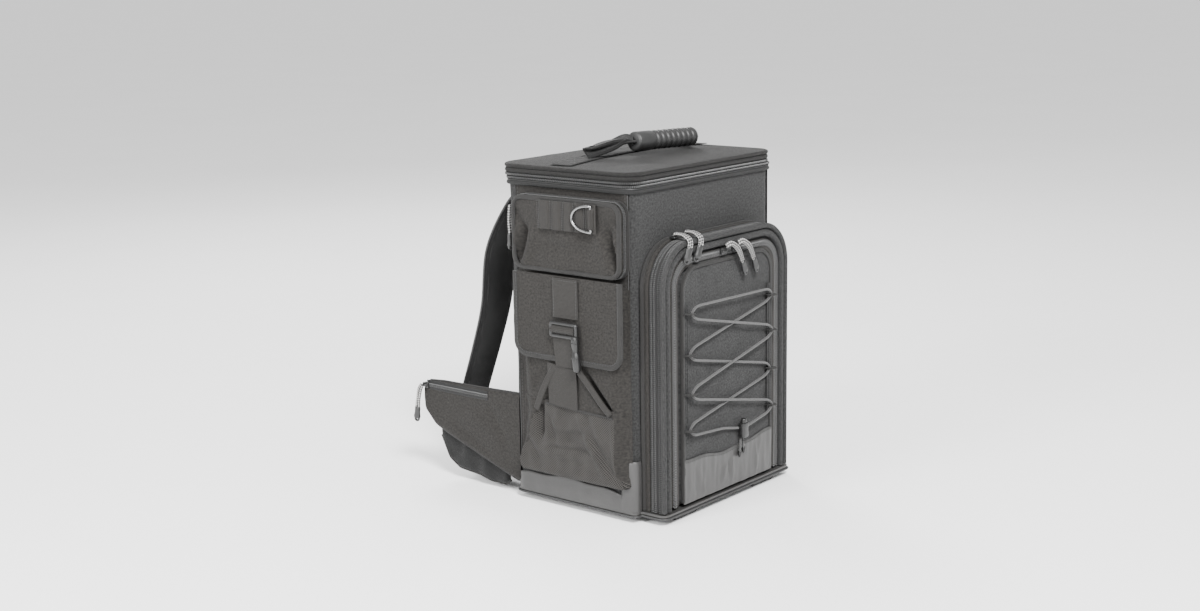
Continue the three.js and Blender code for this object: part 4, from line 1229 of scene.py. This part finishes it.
def daisy():
    """Webbing tacked down at intervals so that it stands in loops; a tunnel holds the ring's bar."""
    shape = Shape()
    low, high = -35, 66
    a = np.linspace(low, high, 110)
    tacks = np.array([-35, -12, 8, 28, 47])
    gap = np.min(np.abs(a[:, None] - tacks[None]), axis=1)
    lift = 185.9 + 2.6 * (1 - np.exp(-(gap / 3.5) ** 2))
    lift = np.where(a > 50, 185.9 + 1.6 + 7.0 * np.exp(-((a - 60) / 4.2) ** 4), lift)
    b = np.linspace(396.5, 435.5, 12)
    grid_a, grid_b = np.meshgrid(a, b, indexing="ij")
    n = lift[:, None] + 0 * grid_b
    tunnel = (grid_a > 54) & (np.abs(grid_b - 416) > 12.5)
    n = np.where(tunnel, np.minimum(n, 188.2), n)
    points = on_face("left", grid_a, grid_b, n)
    shape.sheet(points, 1.3, 0, uv=(grid_b, grid_a))
    for t in tacks:
        for d in (-1.2, 1.2):
            line = on_face("left", t + d, np.linspace(398, 434, 30), 187.2)
            stitches(shape, line, (-1, 0, 0), 1, 2, 1)
    shape.build("daisy_webbing", [SIDE_WEB, THREAD], "pack", "webbing", ["left_daisy_webbing"])
    d_ring("left_ring", "left_d_ring", "left_ring")


def flap():
    shape = Shape()
    a0, a1, b0, b1 = -85, 105, 215, 333
    folds = [((-30, 300), (-60, 250), 12, -0.8), ((60, 310), (75, 240), 14, -0.8),
             ((36, 320), (38, 285), 5, -0.7), ((-20, 240), (20, 225), 9, -0.6)]

    def relief(x, y, d):
        high = 3.0 + 0.45 * ripple(x, y, 61, 60) + 0.25 * ripple(x, y, 62, 20)
        high = creased(high, x, y, folds)
        return 0.3 + rise(d, 2.2) * np.clip(high, 0.8, 3.9)

    shape.pad("left", (a0, a1, b0, b1), (22, 3), 181.9, relief, 0, step=3.2)
    edge = rounded([(a0, b1), (a0, b0), (a1, b0), (a1, b1)], (0, 22, 22, 0), 4, closed=False)
    shape.band("left", edge, [(0, 182.2), (-0.9, 184), (-0.2, 185.7), (2, 186.3), (5.5, 186.2), (7.2, 185.6),
                              (7.4, 184.2), (6, 182.6)], slot=1,
               wave=lambda a, b: 0.25 * ripple(a, b, 63, 24))
    seam = rounded([(a0 + 6, b1), (a0 + 6, b0 + 6), (a1 - 6, b0 + 6), (a1 - 6, b1)], (0, 17, 17, 0), 4,
                   closed=False)
    stitches(shape, lay("left", seam, 186.0), (-1, 0, 0), 2)
    shape.build("flap_cloth", [SIDE, BINDING, THREAD], "side_flap", "side_fabric", ["left_flap"])

    tape = Shape()
    a, b = np.meshgrid(np.linspace(-12, 32, 14), np.linspace(277, 331, 24), indexing="ij")
    n = 186.9 + 1.3 * rise(np.minimum(22.2 - np.abs(a - 10), 40), 1.0) + 0.3 * ripple(a, b, 64, 30)
    tape.sheet(on_face("left", a, b, n), 1.2, 0, uv=(a, b))
    for at in (-9.5, 29.5):
        stitches(tape, on_face("left", at, np.linspace(280, 329, 30), 188.0), (-1, 0, 0), 1)
    stitches(tape, on_face("left", np.linspace(-9, 29, 24), 328.5, 188.0), (-1, 0, 0), 1)
    tape.build("flap_webbing", [SIDE_WEB, THREAD], "side_flap", "webbing", ["left_flap_strap"])


def flap_buckle():
    """The webbing's ladder frame, the tail that hangs from it, and the side-release body at its edge."""
    shape = Shape()
    frame_line = box_line(-14.5, 34, 250.5, 272.5, 4, 2)
    shape.band("left", frame_line, circle(1, 8) * [2.6, 2.4] + [2.4, 191.6], closed=True)
    shape.tube(on_face("left", np.linspace(-11, 31, 14), 261.5, 192.2), circle(1.7, 8), up=(-1, 0, 0))
    a, t = np.meshgrid(np.linspace(-1, 1, 14), np.linspace(0, 1, 34), indexing="ij")
    b = 271 - 62 * t
    middle = 8 + 3.5 * t
    n = 187.2 + 6.6 * np.exp(-((b - 261.5) / 5.5) ** 2) + 1.2 * np.sin(t * 5) * t
    shape.sheet(on_face("left", middle + a * 20.5, b, n), 1.3, 1, uv=(a * 20, b))
    levels = [(256, 0.6), (255, 0.9), (250, 1.0), (240, 0.95), (238.5, 0.78), (233, 0.74), (231.5, 0.95),
              (220, 1.0), (211, 0.96), (207.5, 0.8), (206.5, 0.5)]
    rim = squircle(5.4, 4.2, 0.55, 20)
    rings = np.stack([on_face("left", 30.2 + rim[:, 0] * k + (256 - z) * 0.06, z, 192.2 + rim[:, 1] * k)
                      for z, k in levels], 1)
    shape.stack(rings)
    for z in (246, 226):
        shape.tube(on_face("left", np.linspace(26.5, 35.5, 6), z, 196.2), circle(0.8, 6))
    shape.build("flap_buckle", [PLASTIC, SIDE_WEB], "side_flap", "hard_plastic", ["left_buckle"])


def pocket_depth(a, b):
    """How far the lower pocket's front stands from the side wall: gathered towards the strap in its
    middle above, bulging below, with its walls pleated back at both ends."""
    right = np.interp(b, [48, 60, 66, 150, 215], [101, 94, 84, 84, 82])
    left = np.interp(b, [48, 60, 95, 130, 196, 215], [-86, -85, -72, -58, -64, -66])
    inside_right = np.clip((103.5 - a) / np.maximum(103.5 - right, 2), 0, 1)
    inside_left = np.clip((a + 88) / np.maximum(left + 88, 2), 0, 1)
    smooth = lambda t: t * t * (3 - 2 * t)
    high = 16.0 * smooth(inside_right) * smooth(inside_left)
    return high + 0.7 * ripple(a, b, 71, 45) * np.minimum(inside_right, inside_left)


def lower_pocket():
    """The pocket under the flap: cloth above a mesh front, drawn in by webbing from the flap."""
    upper = [((33, 206), (84, 149), 5.0, -8.0), ((44, 204), (92, 156), 6, 2.5),
             ((25, 200), (64, 152), 6, 2.6), ((-18, 200), (-56, 132), 5, 3.4),
             ((-8, 198), (-44, 140), 4.5, -5.0), ((-30, 206), (-70, 150), 6, -2.4),
             ((86, 208), (86, 152), 3.0, -4.5), ((-64, 206), (-60, 156), 4, 1.2)]
    lower = [((-45, 152), (-47, 96), 5, -9), ((-60, 134), (-66, 92), 7, 3.5), ((-80, 84), (-84, 58), 6, 3),
             ((31, 122), (74, 56), 6, 4.0), ((44, 116), (88, 60), 5, -3.0), ((5, 118), (8, 96), 22, -5.5),
             ((-36, 140), (-20, 96), 6, -3.5), ((-38, 79), (50, 84), 4.5, 2.6),
             ((-40, 88), (46, 93), 4, -3.0), ((22, 146), (30, 120), 4.5, 2.6),
             ((48, 146), (60, 112), 6, 2.4), ((38, 146), (40, 128), 4, -2.4),
             ((-70, 100), (-50, 62), 6, -3.2), ((-80, 54), (96, 56), 5, 1.6),
             ((80, 140), (86, 70), 3.5, 2.0), ((-10, 146), (-24, 120), 5, 2.2),
             ((84, 64), (102, 52), 4, -2.5)]

    def height(folds, limit, seed, fine):
        def relief(a, b, d):
            high = pocket_depth(a, b) + fine * ripple(a, b, seed, 15)
            high = creased(high, a, b, folds)
            return rise(d, 3.5) * np.clip(high, 1.2, limit)
        return relief

    shape = Shape()
    shape.pad("left", (-88, 103, 146, 325), (3, 6), HALF + 0.4, height(upper, 17.3, 72, 0.25), 0, step=2.8)
    shape.build("lower_pocket_cloth", [SIDE], "pack", "side_fabric", ["left_pocket_body"])

    def cloth_or_mesh(a, b):
        hem = np.interp(a, [-56, -34, 82, 84], [132, 152, 146.5, 146])
        left = np.interp(b, [48, 60, 78, 95, 130], [-90, -90, -84, -66, -58])
        right = np.interp(b, [48, 60, 66, 150], [104, 98, 85, 85])
        return np.where((a < left) | (a > right) | (b > hem), 1, 0)

    mesh = Shape()
    front = height(lower, 19.6, 75, 0.7)
    mesh.pad("left", (-88, 104, 47, 158), (10, 3), HALF + 0.5, front, cloth_or_mesh, step=2.3)
    a = np.linspace(-34, 83, 60)
    b = 152 - 5.5 * (a + 34) / 117
    mesh.tube(on_face("left", a, b, HALF + 0.9 + front(a, b, np.full_like(a, 20.0))), flat(3.4, 1.8, 3),
              up=(-1, 0, 0), slot=2)
    mesh.build("lower_pocket_mesh", [MESH, SIDE, BINDING], "pack", "pocket_mesh", ["left_pocket_mesh"])

    harness = Shape()
    a, t = np.meshgrid(np.linspace(-1, 1, 14), np.linspace(0, 1, 24), indexing="ij")
    b = 209 - 58 * t - 2.0 * a
    n = HALF + 18.6 + 2.4 * (1 - t) + 0.5 * np.cos(a * 2.5)
    harness.sheet(on_face("left", -1 + a * 25.5, b, n), 1.4, 0, uv=(a * 25, b))
    for path in (
        [(-14, 207, 184.6), (-26, 188, 184.2), (-40, 164, 183.0), (-52, 140, 180.5)],
        [(30, 205, 184.6), (48, 186, 184.0), (66, 166, 183.0), (80, 151, 181.0)],
    ):
        a, b, n = spline(path, 3).T
        harness.tube(on_face("left", a, b, n), flat(10, 1.5, 6), up=(-1, 0, 0))
    harness.build("pocket_harness", [SIDE_WEB], "pack", "webbing")


# --- Right side ---

def right_side():
    folds = [((-24, 366), (-38, 300), 6, -6), ((70, 366), (82, 300), 6, -6), ((-10, 330), (60, 326), 8, -2)]
    zip_pocket("right", (-44, 88, 290, 394), 18, HALF + 0.4, 182.9, "right_upper_pocket",
               ["right_zip_pocket"], folds, 81)

    def bulge(x, y, d):
        high = 34 + 1.8 * ripple(x, y, 84, 45) + 0.6 * ripple(x, y, 85, 16)
        high = creased(high, x, y, (((-30, 230), (-20, 70), 9, -3), ((60, 220), (50, 80), 10, -3)))
        return rise(d, 14) * np.clip(high, 4, 36.6)

    mesh = Shape()
    mesh.pad("right", (-55, 88, 50, 247), (14, 14), HALF + 0.4, bulge, 0, step=3.6)
    top = np.linspace(-50, 83, 50)
    mesh.tube(on_face("right", top, 244, 196 - 26 * np.abs((top - 16.5) / 67) ** 6), flat(16, 3, 5),
              up=(0, 0, 1), slot=1)
    mesh.build("right_bottle_pocket", [MESH, BINDING], "pack", "pocket_mesh", ["right_mesh_pocket"])

    tab = Shape()
    b, a = np.meshgrid(np.linspace(367, 421, 40), np.linspace(-95.5, -72.5, 12), indexing="ij")
    n = HALF + 2 + 0 * a
    lift = (np.abs(b - 396) < 14) & (np.abs(a + 84) < 5.2)
    n = np.where(lift, HALF + 8.6, n)
    tab.sheet(on_face("right", a, b, n), 1.3, 0, uv=(a, b))
    for z in (374, 380, 412, 417):
        stitches(tab, on_face("right", np.linspace(-94, -74, 16), z, HALF + 2.2), (1, 0, 0), 1, 2, 1)
    tab.build("right_ring_webbing", [WEB, THREAD], "pack", "webbing", ["right_ring_tab"])
    d_ring("right_ring_wire", "right_d_ring", "right_ring")


# --- Back, straps and wings ---

def copy_mirrored(obj, name, body, replaced):
    """The same piece across the pack's middle plane."""
    mesh = obj.data.copy()
    mesh.name = name
    middle = ORIGIN[0]
    flip = Matrix.Translation((2 * middle, 0, 0)) @ Matrix.Diagonal((-1, 1, 1, 1))
    mesh.transform(flip)
    mesh.flip_normals()
    twin = bpy.data.objects.new(name, mesh)
    bpy.context.scene.collection.objects.link(twin)
    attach(twin, body)
    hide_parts(*replaced)
    return twin


def back_pad():
    shape = Shape()
    blocks = [(-130, -5, 266, 402), (5, 130, 266, 402), (-130, -5, 156, 258), (5, 130, 156, 258),
              (-130, -5, 50, 148), (5, 130, 50, 148)]
    shape.pad("back", (-132, 132, 48, 404), (26, 26), 107.4,
              lambda x, y, d: 5.0 + rise(d, 5) * 1.0 + 0.3 * ripple(x, y, 91, 40), 1, step=8)
    for x0, x1, y0, y1 in blocks:
        shape.pad("back", (x0, x1, y0, y1), (16, 16), 108.0,
                  lambda x, y, d: rise(d, 17) * 15.4 + 0.5 * ripple(x, y, 92, 45) * np.clip(d / 10, 0, 1),
                  0, step=5)
        ring = box_line(x0 + 1, x1 - 1, y0 + 1, y1 - 1, 15, 4)
        stitches(shape, lay("back", ring, 113.4), (0, 1, 0), 3, closed=True)
    edge = box_line(-132, 132, 48, 404, 26, 5)
    shape.band("back", edge, ring_profile(0.6, 112.4, 1.9), closed=True, slot=2)
    shape.pad("back", (-140, 140, 398, 446), (6, 6), 107.4, lambda x, y, d: 0.4 + rise(d, 1.4) * 1.7, 2,
              step=6)
    for z in (402, 407, 442):
        stitches(shape, on_face("back", np.linspace(-137, 137, 80), z, 109.4), (0, 1, 0), 3)
    obj = shape.build("back_cushions", [AIR, STRAP, BINDING, THREAD], "pack", "pad_fabric", ["back_pad"])


STRAP_PATH = [(-85, 121, 438), (-90, 150, 412), (-95, 187, 345), (-96, 200, 262), (-98, 218, 200),
              (-102, 237, 140), (-107, 250, 92), (-110, 249, 54), (-114, 234, 31)]


def shoulder_straps():
    path = spline(STRAP_PATH, 4)
    t = np.linspace(0, 1, len(path))
    half = 34 * (1 - 0.2 * t)
    across = np.concatenate([np.linspace(-1, -0.86, 4), np.linspace(-0.8, 0.8, 17), np.linspace(0.86, 1, 4)])
    tangent = tangents(path)
    side = unit(np.array([1.0, 0, 0]) - tangent * tangent[:, :1])
    normal = np.cross(tangent, side)
    u, v = np.meshgrid(t, across, indexing="ij")
    edge = (1 - np.abs(v)) * half[:, None]
    run = u * 480
    bunch = np.clip((u - 0.62) / 0.2, 0, 1)
    wrinkle = 0.5 * ripple(run, v * 34, 101, 36) + bunch * 1.3 * np.sin(run / 5.2 + 1.5 * ripple(run,
            v * 34, 102, 50))
    swell = rise(edge, 9) * 4.6
    shape = Shape()
    rows = []
    for s in (1, -1):
        offset = s * (swell + wrinkle * np.clip(edge / 8, 0, 1) * (0.8 if s > 0 else 0.5))
        spread = side[:, None] * (v * half[:, None])[..., None]
        points = path[:, None] + spread + normal[:, None] * offset[..., None]
        rows.append(points)
    shape.grid(rows[0], 0, uv=(v * 34, run))
    shape.grid(rows[1][:, ::-1], 1, uv=((v * 34)[:, ::-1], run))
    for k in (0, -1):
        shape.grid(np.stack([rows[0][k], rows[1][k]], 0), 0)
    for s in (-1, 1):
        line = path + side * (s * half[:, None])
        shape.tube(line, circle(1, 8) * [1.9, 1.9], up=normal, slot=2)
        seam = path + side * (s * (half[:, None] - 6)) + normal * 4.0
        stitches(shape, seam, normal, 3)
    pad = shape.build("left_shoulder_strap", [STRAP, AIR, PIPE, THREAD], "left_strap", "pad_fabric",
                      ["left_shoulder_pad"])
    twin = copy_mirrored(pad, "right_shoulder_strap", "right_strap", ["right_shoulder_pad"])

    lock = Shape()
    ring = box_line(-133.5, -102.5, 206.5, 226.5, 3, 2)
    lock.band("top", ring, circle(1, 8) * [2.6, 3.0] + [2.4, 20.5], closed=True)
    for y in (213.5, 219.5):
        lock.tube([(x, y, 20.5) for x in np.linspace(-130, -106, 6)], circle(1.6, 8))
    obj = lock.build("left_strap_adjuster", [PLASTIC], "left_strap", "hard_plastic", ["left_ladder_lock"])
    copy_mirrored(obj, "right_strap_adjuster", "right_strap", ["right_ladder_lock"])

    web = Shape()
    web.tube(spline([(-118, 222, 22), (-118, 204.6, 20.5), (-120, 170, 18), (-123, 135, 19),
                     (-125, 114, 24)], 3),
             flat(25, 1.8, 6))
    obj = web.build("left_strap_webbing", [WEB], "left_strap", "webbing", ["left_shoulder_webbing"])
    copy_mirrored(obj, "right_strap_webbing", "right_strap", ["right_shoulder_webbing"])


WING_MID, PADDING_MID, BUCKLE_X = -158, -153.6, -146
WING = [(110, 22), (162, 40), (250, 71), (270, 80), (289, 100), (291, 134), (284, 143), (250, 146),
        (180, 147), (110, 149)]


def wing_grid():
    """Stations along the wing from its root to its tip, and from its lower edge to its upper edge."""
    y = np.concatenate([np.linspace(99, 282, 54), 282 + 9 * np.sin(np.linspace(0.1, 1, 8) * math.pi / 2)])
    low_y, low_z = np.array([p for p in WING[:5]]).T
    lower = np.interp(y, np.append(low_y, 291), np.append(low_z, 116))
    upper = np.interp(y, [110, 180, 250, 280, 288, 291], [149, 147, 146, 143.5, 136, 120])
    lower[-1], upper[-1] = 115, 121
    v = edged(50, 3.5, (0, 0.4, 1.2, 2.6, 4.5, 7))
    yy = np.repeat(y[:, None], len(v), 1)
    zz = lower[:, None] + (upper - lower)[:, None] * (v[None] + 1) / 2
    edge = np.minimum((1 - np.abs(v))[None] * (upper - lower)[:, None] / 2, (291.4 - y)[:, None])
    return yy, zz, edge, y, lower, upper


def hip_wings():
    yy, zz, edge, y, lower, upper = wing_grid()
    folds = [((235, 92), (150, 48), 7, -2.2), ((205, 110), (130, 70), 10, 1.3),
             ((160, 132), (120, 60), 8, -1.5), ((262, 96), (236, 120), 8, -0.8)]
    high = 6.0 + 0.6 * ripple(yy, zz, 111, 50)
    high = creased(high, yy, zz, folds)
    shape = Shape()
    for s, slot in ((-1, 0), (1, 1)):
        x = WING_MID + s * rise(edge, 8) * (high if s < 0 else 6.4 + 0.4 * ripple(yy, zz, 112, 40))
        points = np.stack([x, yy, zz], -1)
        shape.grid(points if s < 0 else points[:, ::-1], slot,
                   uv=(yy, zz) if s < 0 else (yy[:, ::-1], zz[:, ::-1]))
    rim = np.concatenate([np.stack([y, lower], 1), np.stack([y, upper], 1)[::-1]])
    shape.tube(beside(WING_MID, rim), circle(1, 8) * [2.2, 2.0], up=(-1, 0, 0), slot=2)
    line = np.stack([np.linspace(160, 281, 60), np.full(60, 138.5)], 1)
    shape.tube(beside(-163.9, line), flat(14, 1.2, 4), up=(-1, 0, 0), slot=3)
    coil(shape, beside(-164.5, line), (-1, 0, 0), 4)
    down = np.linspace(0, 1, 12)
    run = np.linspace(128, 264, 48)
    bottom = np.interp(run, [128, 136, 165, 186, 228, 248, 264], [16, 9, 9, 14, 18, 30, 62])
    top = np.interp(run, y, lower) + 9
    run_grid, down_grid = np.meshgrid(run, down, indexing="ij")
    drop = top[:, None] + (bottom - top)[:, None] * down_grid
    ends = rise(np.minimum(run_grid - 128, 264 - run_grid),
                9) * rise((1 - down_grid) * (top - bottom)[:, None], 6)
    tuck = 1.0 * np.sin(run_grid / 6.5 + 1.6 * ripple(run_grid, drop, 121, 40)) + 0.8 * ripple(run_grid,
            drop, 122, 26)
    for s in (-1, 1):
        lining = np.stack([PADDING_MID + s * ends * (3.6 + (tuck if s < 0 else 0)), run_grid, drop], -1)
        shape.grid(lining if s < 0 else lining[:, ::-1], 1)
    hem = beside(PADDING_MID, np.stack([run, bottom], 1))
    shape.tube(hem, circle(1, 8) * [1.8, 1.6], up=(-1, 0, 0), slot=2)
    obj = shape.build("left_wing_cloth", [SIDE, STRAP, BINDING, TAPE, TEETH], "left_wing", "side_fabric",
                      ["left_hip_wing"])
    twin = copy_mirrored(obj, "right_wing_cloth", "right_wing", ["right_hip_wing"])

    buckle = Shape()
    ring = [(262.6, 98.6), (287.4, 98.6), (287.4, 133.4), (262.6, 133.4)]
    line = rounded(ring, 4, 2)
    path = beside(BUCKLE_X, line)
    buckle.tube(path, circle(1, 8) * [2.2, 3.4], up=(1, 0, 0), closed=True)
    for z in (106, 126):
        buckle.tube([(BUCKLE_X, y, z) for y in np.linspace(264, 286, 6)], circle(1.8, 8), up=(1, 0, 0))
    buckle.tube([(-147, 275, z) for z in np.linspace(100, 132, 8)], flat(19, 1.8, 4), up=(1, 0, 0), slot=1)
    obj = buckle.build("left_belt_buckle", [PLASTIC, WEB], "left_wing", "hard_plastic", ["left_hip_buckle"])
    copy_mirrored(obj, "right_belt_buckle", "right_wing", ["right_hip_buckle"])


# --- Scene ---

def lamp_at(name, place, target, size, power, tint=(1, 1, 1)):
    lamp = bpy.data.lights.new(name, "AREA")
    lamp.shape, lamp.size, lamp.energy, lamp.color = "DISK", size, power, tint
    obj = bpy.data.objects.new(name, lamp)
    obj.location = place
    obj.rotation_euler = (Vector(target) - Vector(place)).to_track_quat("-Z", "Y").to_euler()
    bpy.context.scene.collection.objects.link(obj)


WORLD_LIGHT = 1.15
FLOOR_HALF = 60
FLOOR_ROUGH = 0.95
LOOK_AT = (0, 0, 0.25)
LAMPS = [("key", (-1.6, -2.2, 2.6), LOOK_AT, 1.0, 300), ("side", (-2.8, 0.4, 1.4), LOOK_AT, 1.0, 95),
         ("rim", (1.2, 1.8, 2.2), (0, 0, 0.3), 1.2, 60)]
CAMERA_PLACE = np.array([-1896.7, -1473.0, 753.9])
CAMERA_AZIMUTH, CAMERA_HEIGHT, CAMERA_ROLL = -50.64, 11.55, -0.96
LENS, SENSOR = 51.2, 36


def studio():
    world = bpy.data.worlds.new("studio")
    world.use_nodes = True
    background = world.node_tree.nodes["Background"]
    background.inputs[0].default_value = (1, 1, 1, 1)
    background.inputs[1].default_value = WORLD_LIGHT
    bpy.context.scene.world = world
    mesh = bpy.data.meshes.new("floor")
    corners = [(x * FLOOR_HALF, y * FLOOR_HALF, 0) for x, y in ((-1, -1), (1, -1), (1, 1), (-1, 1))]
    mesh.from_pydata(corners, [], [(0, 1, 2, 3)])
    floor = bpy.data.objects.new("floor", mesh)
    bpy.context.scene.collection.objects.link(floor)
    nodes = Nodes("floor_paper")
    spot = nodes.add("TexCoord", out=3)
    paper = nodes.ramp(nodes.noise(spot, 2), 0.3, 0.7, grey(0.93), grey(0.95))
    mesh.materials.append(nodes.finish(paper, FLOOR_ROUGH))
    for lamp in LAMPS:
        lamp_at(*lamp)


def camera():
    azimuth, height, roll = (math.radians(a) for a in (CAMERA_AZIMUTH, CAMERA_HEIGHT, CAMERA_ROLL))
    back = np.array([math.sin(azimuth) * math.cos(height), -math.cos(azimuth) * math.cos(height),
                     math.sin(height)])
    right = unit(np.cross(-back, [0, 0, 1]))
    up = np.cross(right, -back)
    right, up = right * math.cos(roll) + up * math.sin(roll), up * math.cos(roll) - right * math.sin(roll)
    lens = bpy.data.cameras.new("camera")
    lens.lens, lens.sensor_width = LENS, SENSOR
    obj = bpy.data.objects.new("camera", lens)
    turn = Matrix(np.stack([right, up, back], 1).tolist()).to_4x4()
    obj.matrix_world = Matrix.Translation(row(CAMERA_PLACE)) @ turn
    bpy.context.scene.collection.objects.link(obj)
    bpy.context.scene.camera = obj


PIECES = [camera, lacing, body_skin, side_colour_panels, vinyl_base, runners, door_gusset, door_shell,
          door_binding, front_pocket, kick_vinyl, front_pulls, side_pulls, lid, handle, left_upper_pocket,
          daisy, flap, flap_buckle, lower_pocket, right_side, back_pad, shoulder_straps, hip_wings, studio]
for build in PIECES:
    build()

BOARD = moulded("divider_sheet", 0.03, rough=0.6)
for material_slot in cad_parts["divider_board"].material_slots:
    material_slot.material = BOARD
